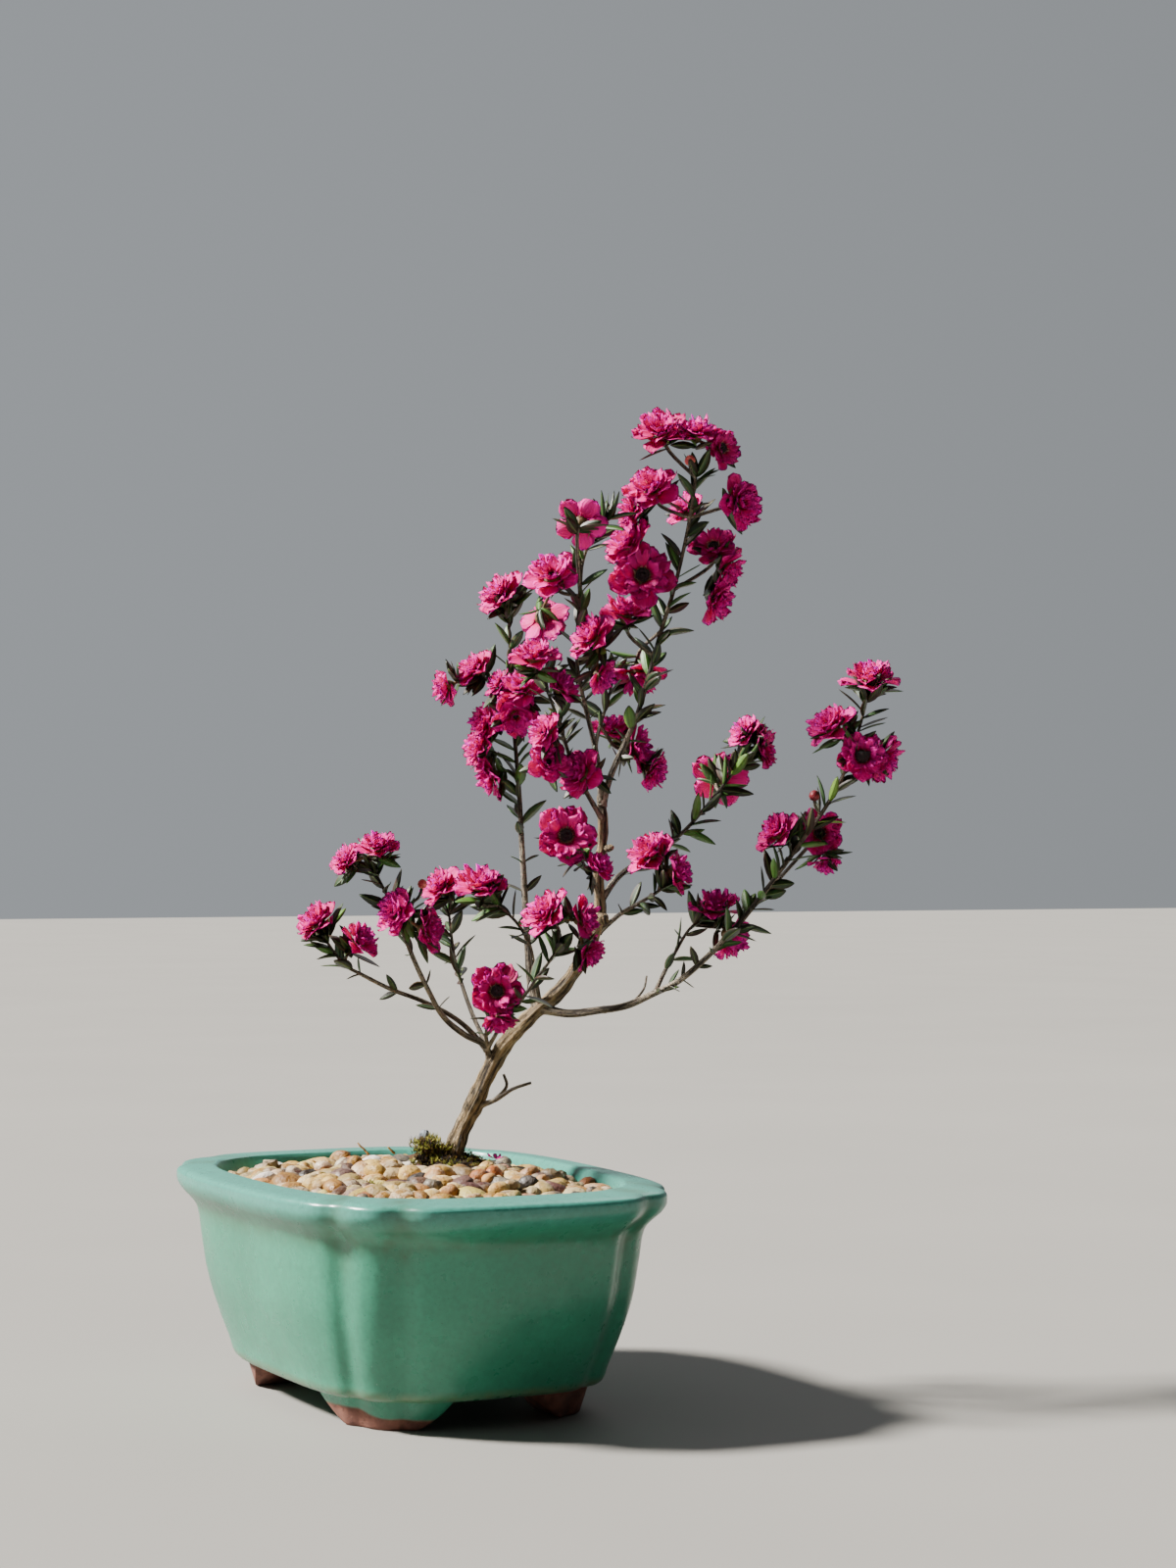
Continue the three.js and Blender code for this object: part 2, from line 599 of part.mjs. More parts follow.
// A double flower as one skin: a cup, five broad outer petals with notches between them, and a ruffled crown.
// Heights and radii are shares of the flower's radius, and it opens along its own axis from the cup's base.
function flowerSolid(base, axis, radius, draw) {
  const [first, second] = crossAxes(axis);
  const start = draw() * 2 * Math.PI;
  const vertices = [];
  const addRing = (points) => points.map(([turnShare, out, height]) => {
    const turn = start + 2 * Math.PI * turnShare;
    const place = base.clone().addScaledVector(axis, radius * height);
    place.addScaledVector(first, radius * out * Math.cos(turn));
    place.addScaledVector(second, radius * out * Math.sin(turn));
    vertices.push(place.toArray());
    return vertices.length - 1;
  });
  const evenly = (ring) => Array.from({ length: 5 }, (_, i) => [i / 5, ...ring]);
  const petals = [];
  for (let i = 0; i < 5; i += 1) {
    const reach = mix(...PETAL_REACH, draw());
    const curl = mix(...PETAL_HEIGHT, draw());
    const wave = mix(...PETAL_WAVE, draw());
    petals.push([i / 5, ...FLOWER_RINGS.petalNotch]);
    if (radius < SMALL_FLOWER) {
      petals.push([(i + 0.28) / 5, reach, curl], [(i + 0.72) / 5, reach, curl + wave]);
    } else {
      petals.push([(i + 0.2) / 5, PETAL_SHOULDER * reach, curl]);
      petals.push([(i + 0.5) / 5, reach, curl + PETAL_LIFT]);
      petals.push([(i + 0.8) / 5, PETAL_SHOULDER * reach, curl + wave]);
    }
  }
  const crown = [];
  for (let i = 0; i < 5; i += 1) {
    crown.push([i / 5, ...FLOWER_RINGS.crownNotch]);
    crown.push([(i + 0.5) / 5, mix(...CROWN_REACH, draw()), mix(...CROWN_HEIGHT, draw())]);
  }
  const cupFoot = addRing(evenly(FLOWER_RINGS.cupFoot));
  const cupTop = addRing(evenly(FLOWER_RINGS.cupTop));
  const rim = addRing(petals);
  const crownFoot = addRing(evenly(FLOWER_RINGS.crownFoot));
  const crownRim = addRing(crown);
  const middle = addRing([[0, ...FLOWER_RINGS.middle]]);
  const triangles = [];
  for (let i = 1; i + 1 < 5; i += 1) {
    triangles.push([cupFoot[0], cupFoot[i + 1], cupFoot[i]]);
  }
  bridge(cupFoot, cupTop, triangles);
  bridge(cupTop, rim, triangles);
  bridge(rim, crownFoot, triangles);
  bridge(crownFoot, crownRim, triangles);
  bridge(crownRim, middle, triangles);
  return solidOf(vertices, triangles);
}

function flowerRadius([, , width, behind]) {
  return ((width / 2) * (PLANE_DISTANCE + behind)) / EYE_FOCAL;
}

// The middle of the cup's underside: the flower's picked middle lies half its radius above it
function cupBase(flower) {
  const [column, row, , behind, way] = flower;
  return spot([column, row, behind]).addScaledVector(facing(way), -0.5 * flowerRadius(flower));
}

// A place inside the cup, above its base by a share of the flower's radius
function cupMiddle(flower) {
  return cupBase(flower).addScaledVector(facing(flower[4]), 0.15 * flowerRadius(flower));
}

// One flower, or a bunch: each further flower hangs by a short forked stalk from the cup nearest to it
function makeBloom(name, index) {
  const [, flowers] = BLOOMS[name];
  const draw = seededDraw(FLOWER_SEED + SEED_STEP * index);
  const solids = flowers.map((flower) => (
    flowerSolid(cupBase(flower), facing(flower[4]), flowerRadius(flower), draw)
  ));
  const cups = flowers.map(cupMiddle);
  for (let i = 1; i < cups.length; i += 1) {
    const earlier = cups.slice(0, i);
    const nearest = earlier.reduce((a, b) => (b.distanceTo(cups[i]) < a.distanceTo(cups[i]) ? b : a));
    solids.push(limb([nearest, cups[i]], [STALK_RADIUS, STALK_RADIUS], 3));
  }
  return Manifold.union(solids);
}

// Leafy shoots

const LEAF_LENGTH = 8.6;
const LEAF_WIDTH = 2;
const LEAF_FOLD = 0.8;
const LEAF_DROOP = 0.04;
const LEAF_SPACING = 4.6;
const LEAVES_UNDER_FLOWER = 3;
const GOLDEN_TURN = 2.39996;
const LEAF_REST = 0.25;
const SHOOT_SEED = 503;

// How far a leaf leans from its stem, in radians, and its share of the full length
const STEM_LEAF = { spread: [0.75, 1.05], size: [0.8, 1.1] };
const CUP_LEAF = { spread: [1.2, 1.4], size: [0.75, 1.05] };

// What makes a stalk's root a poor one: a long run, a backward one, or a start ahead of the cup's back
const STALK_RUN_COST = 1.35;
const STALK_FORWARD_GAIN = 0.6;
const STALK_AHEAD_COST = 3;
const STALK_START_BEHIND = 1.5;

// A narrow pointed leaf, folded up from a straight keel, with its root on the stem's axis
function leafSolid(root, direction, top, length, grow = 0) {
  const across = new THREE.Vector3().crossVectors(direction, top).normalize();
  const edge = root.clone().addScaledVector(direction, 0.46 * length).addScaledVector(top, LEAF_FOLD + grow);
  const left = edge.clone().addScaledVector(across, -LEAF_WIDTH / 2 - grow);
  const right = edge.clone().addScaledVector(across, LEAF_WIDTH / 2 + grow);
  const tip = root.clone().addScaledVector(direction, length + grow);
  tip.addScaledVector(UP, -LEAF_DROOP * length - grow);
  const vertices = [root, left, right, tip].map((place) => place.toArray());
  return solidOf(vertices, [[0, 2, 1], [0, 1, 3], [0, 3, 2], [1, 2, 3]]);
}

// A leaf's direction at a turn round its stem and a spread away from it, and the side that is its top
function leafPose(stem, turn, spread) {
  const [first, second] = crossAxes(stem);
  const out = first.clone().multiplyScalar(Math.cos(turn)).addScaledVector(second, Math.sin(turn));
  const direction = stem.clone().multiplyScalar(Math.cos(spread)).addScaledVector(out, Math.sin(spread));
  const top = stem.clone().addScaledVector(direction, -stem.dot(direction)).normalize();
  return [direction.normalize(), top];
}

// The stalk from a shoot to one flower: it leaves the stem behind the cup and a little lower down, and ends
// square to the cup
function stalkPlaces(stem, base, axis) {
  let root = stem[1];
  let best = Infinity;
  for (let i = 0; i + 1 < stem.length; i += 1) {
    for (const share of [0.1, 0.4, 0.7, 0.95]) {
      const place = stem[i].clone().lerp(stem[i + 1], share);
      const along = stem[i + 1].clone().sub(stem[i]).normalize();
      const rise = base.clone().sub(place);
      const ahead = Math.max(0, STALK_START_BEHIND - rise.dot(axis));
      const run = STALK_RUN_COST * rise.length() - STALK_FORWARD_GAIN * rise.dot(along);
      const cost = run + STALK_AHEAD_COST * ahead;
      if (cost < best) {
        best = cost;
        root = place;
      }
    }
  }
  const end = base.clone().addScaledVector(axis, -SEAT);
  const bend = end.clone().addScaledVector(axis, -0.4 * Math.min(root.distanceTo(end), 6));
  return [root, bend.lerp(root, 0.15), end];
}

function makeShoot(name, index, others) {
  const branch = BRANCHES[name];
  const from = bareShare(branch);
  const draw = seededDraw(SHOOT_SEED + SEED_STEP * index);
  const stem = stretchPlaces(branch, from, 1);
  const wood = [stretchOf(branch, from, 1, sidesOf(branch))];
  const leaves = [];
  let turn = draw() * 6;
  const addLeaf = (root, along, { spread, size }) => {
    turn += GOLDEN_TURN;
    const [direction, top] = leafPose(along, turn, mix(...spread, draw()));
    const length = LEAF_LENGTH * mix(...size, draw());
    const roomy = leafSolid(root, direction, top, length, LEAF_REST);
    if (others.every((other) => roomy.intersect(other).isEmpty())) {
      leaves.push(leafSolid(root, direction, top, length));
    }
  };
  for (let i = 0; i + 1 < stem.length; i += 1) {
    const along = stem[i + 1].clone().sub(stem[i]);
    const count = Math.max(1, Math.round(along.length() / LEAF_SPACING));
    along.normalize();
    for (let k = 0; k < count; k += 1) {
      const root = stem[i].clone().lerp(stem[i + 1], (k + 0.5) / count);
      addLeaf(root, along, STEM_LEAF);
    }
  }
  const addStalk = (base, axis) => {
    const places = stalkPlaces(stem, base, axis);
    wood.push(limb(places, [STALK_RADIUS, STALK_RADIUS, STALK_RADIUS], 3, axis));
    return places;
  };
  for (const [carrier, [flower]] of Object.values(BLOOMS)) {
    if (carrier === name) {
      const [, bend, end] = addStalk(cupBase(flower), facing(flower[4]));
      const along = end.clone().sub(bend).normalize();
      for (let i = 0; i < LEAVES_UNDER_FLOWER; i += 1) {
        const root = end.clone().lerp(bend, 0.25 + 0.2 * i);
        addLeaf(root, along, CUP_LEAF);
      }
    }
  }
  for (const [column, row, behind, radius] of BUDS[name] ?? []) {
    const place = spot([column, row, behind]);
    addStalk(place.clone().addScaledVector(UP, -0.3 * radius), UP);
    wood.push(solidFromGeometry(new THREE.IcosahedronGeometry(radius, 0).translate(...place)));
  }
  return Manifold.union([...wood, ...leaves]);
}

// What lies in the pot

function makeSoil(hole) {
  const levels = [FLOOR_TOP + SEAT, 18, 36, SOIL_TOP];
  return loft(levels.map((height) => planRing(height, innerShare(height), SEAT, false))).subtract(hole);
}

function gravelHeight(x, y) {
  const reach = Math.hypot(x / RIM_HALF_WIDTH, y / RIM_HALF_LENGTH) / innerShare(GRAVEL_EDGE);
  return GRAVEL_EDGE + GRAVEL_CROWN * Math.max(0, 1 - reach ** 2);
}

// Packed pebbles: a jittered honeycomb of stones, each a raised cap over the low seam that it shares with its
// six neighbours, cut to the pot's cavity
function makeGravel(cutters) {
  const draw = seededDraw(GRAVEL_SEED);
  const rows = Math.ceil(RIM_HALF_LENGTH / PEBBLE_ROW);
  const columns = Math.ceil(RIM_HALF_WIDTH / PEBBLE_SPACING) + 1;
  const centres = new Map();
  for (let row = -rows - 1; row <= rows + 1; row += 1) {
    for (let column = -columns - 1; column <= columns + 1; column += 1) {
      const x = PEBBLE_SPACING * (column + (row % 2 ? 0.5 : 0) + PEBBLE_SHIFT * (draw() - 0.5));
      const y = PEBBLE_ROW * (row + PEBBLE_ROW_SHIFT * (draw() - 0.5));
      centres.set(`${column},${row}`, [x, y, mix(...PEBBLE_SIZES, draw())]);
    }
  }
  const vertices = [];
  const triangles = [];
  const seams = new Map();
  const addVertex = (x, y, height) => vertices.push([x, y, height]) - 1;
  const walls = new Map();
  for (let row = -rows; row <= rows; row += 1) {
    for (let column = -columns; column <= columns; column += 1) {
      const shift = row % 2 ? 1 : 0;
      const around = [
        [column + 1, row], [column + shift, row + 1], [column + shift - 1, row + 1],
        [column - 1, row], [column + shift - 1, row - 1], [column + shift, row - 1],
      ].map((cell) => cell.join(','));
      const [x, y, rise] = centres.get(`${column},${row}`);
      const corners = around.map((cell, k) => {
        const key = [`${column},${row}`, cell, around[(k + 1) % 6]].sort().join(' ');
        if (!seams.has(key)) {
          const trio = key.split(' ').map((name) => centres.get(name));
          const cx = (trio[0][0] + trio[1][0] + trio[2][0]) / 3;
          const cy = (trio[0][1] + trio[1][1] + trio[2][1]) / 3;
          const top = addVertex(cx, cy, gravelHeight(cx, cy));
          seams.set(key, [top, addVertex(cx, cy, SOIL_TOP - PEBBLE_DEPTH)]);
        }
        return seams.get(key);
      });
      const cap = corners.map(([seam]) => {
        const [cx, cy] = vertices[seam];
        const share = mix(...PEBBLE_CAP, draw());
        const top = gravelHeight(x, y) + PEBBLE_RISE * rise + mix(...PEBBLE_UNEVEN, draw());
        return addVertex(mix(x, cx, share), mix(y, cy, share), top);
      });
      for (let k = 0; k < 6; k += 1) {
        const next = (k + 1) % 6;
        triangles.push([corners[k][0], corners[next][0], cap[next]], [corners[k][0], cap[next], cap[k]]);
        const edge = [corners[k], corners[next]];
        const key = [corners[k][0], corners[next][0]].sort((a, b) => a - b).join(' ');
        if (walls.has(key)) {
          walls.delete(key);
        } else {
          walls.set(key, edge);
        }
      }
      for (let k = 1; k < 5; k += 1) {
        triangles.push([cap[0], cap[k], cap[k + 1]], [corners[0][1], corners[k + 1][1], corners[k][1]]);
      }
    }
  }
  for (const [[topA, lowA], [topB, lowB]] of walls.values()) {
    triangles.push([topB, topA, lowA], [topB, lowA, lowB]);
  }
  const cavity = loft([
    planRing(SOIL_TOP + SEAT, innerShare(SOIL_TOP), SEAT, false),
    planRing(GRAVEL_EDGE, innerShare(GRAVEL_EDGE), SEAT, false),
    planRing(POT_HEIGHT + 10, innerShare(GRAVEL_EDGE), SEAT, false),
  ]);
  const stones = solidOf(vertices, triangles).intersect(cavity);
  return mainBody(cutters.reduce((solid, cutter) => solid.subtract(cutter), stones));
}

// The round pocket in the gravel that the moss fills, from a height up
function mossPlug(radius, low, high) {
  const plug = new THREE.CylinderGeometry(radius, radius, high - low, MOSS_SIDES);
  plug.rotateX(Math.PI / 2);
  plug.translate(TRUNK_FOOT.x, TRUNK_FOOT.y, (low + high) / 2);
  return solidFromGeometry(plug);
}

// A low uneven mound: rings that shrink upwards, with lobes
function makeMoss(cutters) {
  const rings = MOSS_LEVELS.map(([height, share]) => Array.from({ length: MOSS_SIDES }, (_, i) => {
    const turn = (2 * Math.PI * i) / MOSS_SIDES;
    const lobe = MOSS_LOBE_DEPTH * (Math.sin(MOSS_LOBES * turn + height) - 1);
    const radius = MOSS_RADIUS * share * (1 + lobe);
    const x = TRUNK_FOOT.x + radius * Math.cos(turn);
    return [x, TRUNK_FOOT.y + radius * Math.sin(turn), height];
  }));
  return cutters.reduce((solid, cutter) => solid.subtract(cutter), loft(rings));
}

// Chips of bark and wood: where the middle lies, the length, width and thickness, the tilt and the turn
const BARK_CHIP = { pick: [438, 1163, 21], size: [7.5, 5, 2], tilt: -1.25, turn: 0.6 };
const WOOD_CHIP = { pick: [276, 1189, 34], size: [9, 4.5, 3], tilt: 0.15, turn: 1.2 };

// A flat splinter with slanted ends
function chip({ pick, size, tilt, turn }, grow = 0) {
  const place = spot(pick);
  const [length, width, thick] = size.map((side) => side + 2 * grow);
  const shape = new THREE.Shape();
  shape.moveTo(-length / 2, -width / 2);
  shape.lineTo(0.36 * length, -0.4 * width);
  shape.lineTo(length / 2, 0.1 * width);
  shape.lineTo(0.3 * length, width / 2);
  shape.lineTo(-0.44 * length, 0.42 * width);
  shape.closePath();
  const geometry = new THREE.ExtrudeGeometry(shape, { depth: thick, bevelEnabled: false });
  geometry.translate(0, 0, -thick / 2);
  geometry.rotateY(tilt);
  geometry.rotateZ(turn);
  geometry.translate(place.x, place.y, place.z);
  return solidFromGeometry(geometry);
}

// A fallen petal: a shallow round dish
function fallenPetal(place, grow = 0) {
  const rim = Array.from({ length: 8 }, (_, i) => {
    const turn = (2 * Math.PI * i) / 8;
    const radius = (i === 0 ? 1.8 : 2.7) + grow;
    return [place.x + radius * Math.cos(turn), place.y + radius * Math.sin(turn), place.z + 0.5];
  });
  const low = [place.x, place.y, place.z - 0.5 - grow];
  const high = [place.x, place.y, place.z + 0.2 + grow];
  const triangles = rim.flatMap((_, i) => [[i, 8, (i + 1) % 8], [i, (i + 1) % 8, 9]]);
  return solidOf([...rim, low, high], triangles);
}

// Assembly

const group = new THREE.Group();

function addPiece(name, solid, look) {
  const mesh = new THREE.Mesh(geometryOf(solid), new THREE.MeshStandardMaterial({ metalness: 0, ...look }));
  mesh.name = name;
  group.add(mesh);
  return solid;
}

const trunk = makeTrunk();
const hole = rootHole();
const petalPlace = spot([505, 1181, 20]);
const barkNook = chip(BARK_CHIP, SEAT);
const woodNook = chip(WOOD_CHIP, SEAT);
const petalNook = fallenPetal(petalPlace, SEAT);
const mossPocket = mossPlug(MOSS_RADIUS + SEAT, MOSS_SEAT - SEAT, MOSS_TOP + 20);

addPiece('pot', makePot(), COLOURS.glaze);
addPiece('soil', makeSoil(hole), COLOURS.soil);
const gravelCuts = [mossPocket, hole, barkNook, woodNook, petalNook];
addPiece('gravel', makeGravel(gravelCuts), COLOURS.gravel);
addPiece('moss', mainBody(makeMoss([hole, barkNook, petalNook])), COLOURS.moss);
addPiece('bark_chip', chip(BARK_CHIP), COLOURS.chip);
addPiece('wood_chip', chip(WOOD_CHIP), COLOURS.chip);
addPiece('fallen_petal', fallenPetal(petalPlace), COLOURS.petal);
addPiece('trunk', trunk, COLOURS.bark);

const placed = [trunk];
Object.keys(BLOOMS).forEach((name, index) => {
  placed.push(addPiece(name, makeBloom(name, index), COLOURS.petal));
});
Object.keys(BRANCHES).filter((name) => BRANCHES[name].leafy.length).forEach((name, index) => {
  placed.push(addPiece(`shoot_${name}`, makeShoot(name, index, placed), COLOURS.leaf));
});

// The origin is under the middle of everything, on the ground
const extent = new THREE.Box3().setFromObject(group);
const middle = extent.getCenter(new THREE.Vector3());
group.position.set(-middle.x, -middle.y, 0);

export default group;
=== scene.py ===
import bpy
import numpy as np
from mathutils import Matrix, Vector


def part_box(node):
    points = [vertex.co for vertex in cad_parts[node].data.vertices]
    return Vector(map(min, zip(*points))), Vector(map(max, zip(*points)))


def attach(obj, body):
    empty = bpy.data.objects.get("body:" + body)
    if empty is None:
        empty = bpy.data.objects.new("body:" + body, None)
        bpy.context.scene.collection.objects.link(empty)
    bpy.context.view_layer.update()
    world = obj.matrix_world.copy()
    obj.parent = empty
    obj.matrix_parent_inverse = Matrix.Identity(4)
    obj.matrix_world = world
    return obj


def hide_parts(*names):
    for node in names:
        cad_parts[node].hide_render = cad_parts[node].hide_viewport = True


# A burgundy queen tea tree bonsai: jade glazed pot, gravel, moss, fibrous wood, narrow leaves and double flowers.
# Shapes are worked out in millimetres and put into the meshes in metres.

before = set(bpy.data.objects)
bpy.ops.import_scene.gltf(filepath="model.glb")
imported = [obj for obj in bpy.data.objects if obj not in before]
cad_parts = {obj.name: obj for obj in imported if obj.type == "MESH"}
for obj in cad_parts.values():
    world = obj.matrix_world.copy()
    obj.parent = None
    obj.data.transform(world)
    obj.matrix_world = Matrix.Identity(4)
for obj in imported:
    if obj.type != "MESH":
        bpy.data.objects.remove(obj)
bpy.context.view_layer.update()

MM = 0.001
TURN = 2 * np.pi
GOLDEN_TURN = 2.39996
UP = np.array([0.0, 0.0, 1.0])

# The eye that the picks are seen from, in a 1200 x 1600 picture, and the upright plane that they are measured from
PICTURE_MIDDLE = (600, 800)
EYE_FOCAL = 3200
EYE = np.array([46.8, -845.6, 145.5])
EYE_TILT = 0.0221
PLANE_DISTANCE = 837.7
POT_TURN = 0.46

pot_low, pot_high = (np.array(corner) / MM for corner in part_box("pot"))
POT_MIDDLE = np.array([(pot_low[0] + pot_high[0]) / 2, (pot_low[1] + pot_high[1]) / 2, 0])

# Pot sizes
RIM_HALF_WIDTH = 54
RIM_HALF_LENGTH = 79.7
RIM_SHARPNESS = 3.18
FOOT_SHARPNESS = 3.52
POT_HEIGHT = 60
FOOT_HEIGHT = 7.8
FLOOR_TOP = 14
DRAIN_RADIUS = 5.5
DRAIN_OFFSET = 22
GROOVE_DEPTH = 0.026
GROOVE_ANGLES = (51, 64.5)
GROOVE_SPREAD = 3.2

# Directions a flower faces: right, towards the eye, up
FACE = {
    "up": (0, 0.45, 1), "left": (-1, 0.45, 0.15), "right": (1, 0.35, 0.15), "leftUp": (-0.75, 0.55, 0.75),
    "rightUp": (0.75, 0.5, 0.75), "front": (0.1, 1, 0.25), "frontRight": (0.7, 0.8, 0.1),
    "frontUp": (-0.25, 0.8, 0.7), "frontLeft": (-0.75, 0.8, 0.25), "frontDown": (0.2, 0.85, -0.4),
    "rightDown": (0.85, 0.35, -0.45), "leftDown": (-0.85, 0.3, -0.4), "down": (0.1, 0.35, -0.9),
    "back": (0.2, -0.9, 0.35), "backDown": (0.35, -0.6, -0.5),
}

# Branches: radius at both ends, bare picks, then leafy picks. A pick is the picture's column and row, then how far
# behind the plane it lies.
BRANCHES = {
    "trunk": ((4.3, 1.7), [
        (450, 1270, 24.5), (459, 1204, 23), (466, 1166, 22), (486, 1121, 21), (513, 1068, 19), (545, 1034, 17.5),
        (576, 1006, 16.5), (602, 964, 15), (612, 937, 14), (611, 900, 13), (615, 850, 12.5), (613.5, 812, 12),
    ], []),
    "leader": ((1.6, 0.7), [(614, 822, 12), (623, 792, 11.5), (639, 756, 10.5)], [
        (649, 733, 10), (662, 690, 9), (675.5, 641, 8), (688, 600, 7), (698, 558, 6), (706, 516, 5),
        (710, 486, 4),
    ]),
    "left_fork": ((1.35, 0.6), [(613.5, 818, 12), (611, 782, 10), (603, 745, 7), (596, 716, 4)], [
        (590, 688, 2), (589, 650, 0), (592, 606, -2), (595, 572, -3), (606, 546, -4), (620, 530, -5),
    ]),
    "back_fork": ((1.1, 0.6), [(611, 790, 10.5), (608, 764, 13), (612, 742, 17)], [
        (618, 722, 20), (623, 704, 22), (627, 688, 24),
    ]),
    "inner": ((1.2, 0.6), [(614, 836, 12.3), (597, 806, 4), (585, 783, -2)], [
        (575, 752, -6), (567, 728, -8), (559, 706, -10), (555, 690, -12),
    ]),
    "tall_left": ((1.9, 0.6), [
        (548, 1031, 17.3), (542, 1004, 19), (538, 960, 22), (535, 905, 24.5), (532, 852, 26),
    ], [
        (530, 812, 27), (527, 774, 27.5), (523, 728, 28), (521, 690, 28), (520, 655, 27), (519, 630, 26),
    ]),
    "second_left": ((1.1, 0.6), [(551, 1028, 17), (546, 994, 13), (540, 964, 9)], [
        (530, 945, 6), (518, 932, 4), (508, 924, 3),
    ]),
    "left_front": ((1.7, 0.6), [
        (501, 1092, 20.3), (496, 1068, 17), (474, 1056, 10), (452, 1037, 2), (437, 1011, -5), (420, 974, -11),
    ], [(409, 947, -15), (399, 922, -18), (389, 902, -20), (382, 888, -21)]),
    "left_outer": ((1.3, 0.6), [
        (497, 1071, 17.3), (470, 1043, 16), (432, 1022, 14), (398, 1009, 12.5), (368, 994, 11),
    ], [(352, 985, 10), (342, 973, 9.5), (333, 960, 9)]),
    "left_back": ((1.1, 0.6), [(495, 1064, 16.5), (481, 1032, 21), (471, 1004, 25)], [
        (464, 978, 28), (460, 950, 30), (458, 930, 31),
    ]),
    "low_front": ((1.0, 0.6), [(497, 1068, 17), (496, 1055, 12)], [(497, 1046, 8.5), (499, 1036, 6)]),
    "centre_front": ((1.0, 0.6), [(497, 1070, 17.2), (512, 1046, 9), (531, 1022, 1)], [
        (547, 999, -4), (560, 982, -7), (568, 970, -8),
    ]),
    "centre": ((0.9, 0.6), [(611, 915, 13.2), (606, 900, 9)], [(600, 888, 5), (592, 876, 1.5)]),
    "right_long": ((2.0, 0.6), [
        (553, 1029, 17.2), (580, 1034, 14.5), (612, 1031, 10), (640, 1026, 6), (667, 1014, 2), (694, 1000, -2),
        (726, 972, -6),
    ], [
        (758, 938, -9), (790, 897, -11), (817, 860, -12), (846, 818, -12), (864, 782, -11), (877, 742, -10),
        (885, 712, -9),
    ]),
    "right_low": ((1.0, 0.6), [(668, 1013.5, 1.8), (679, 990, 5)], [
        (690, 970, 8), (702, 950, 11), (712, 940, 12.5),
    ]),
    "mid_low_right": ((1.2, 0.6), [(611, 951, 14.4), (634, 932, 10)], [
        (653, 921, 7), (668, 912, 5), (678, 905, 4),
    ]),
    "mid_right": ((1.5, 0.6), [(612, 921, 13.5), (630, 896, 17), (654, 878, 21), (676, 865, 24)], [
        (698, 848, 27), (718, 826, 30), (740, 799, 33), (756, 779, 35),
    ]),
    "dead_twig": ((0.75, 0.4), [(490, 1128, 20.7), (506, 1122, 18), (524, 1111, 16), (542, 1105, 15)], []),
    "dead_curl": ((0.6, 0.4), [(506, 1122, 18), (517, 1108, 18.5), (514, 1096, 19)], []),
    "stray_twig": ((0.6, 0.4), [(646, 1023, 5), (657, 1009, 7), (660, 996, 9)], []),
}

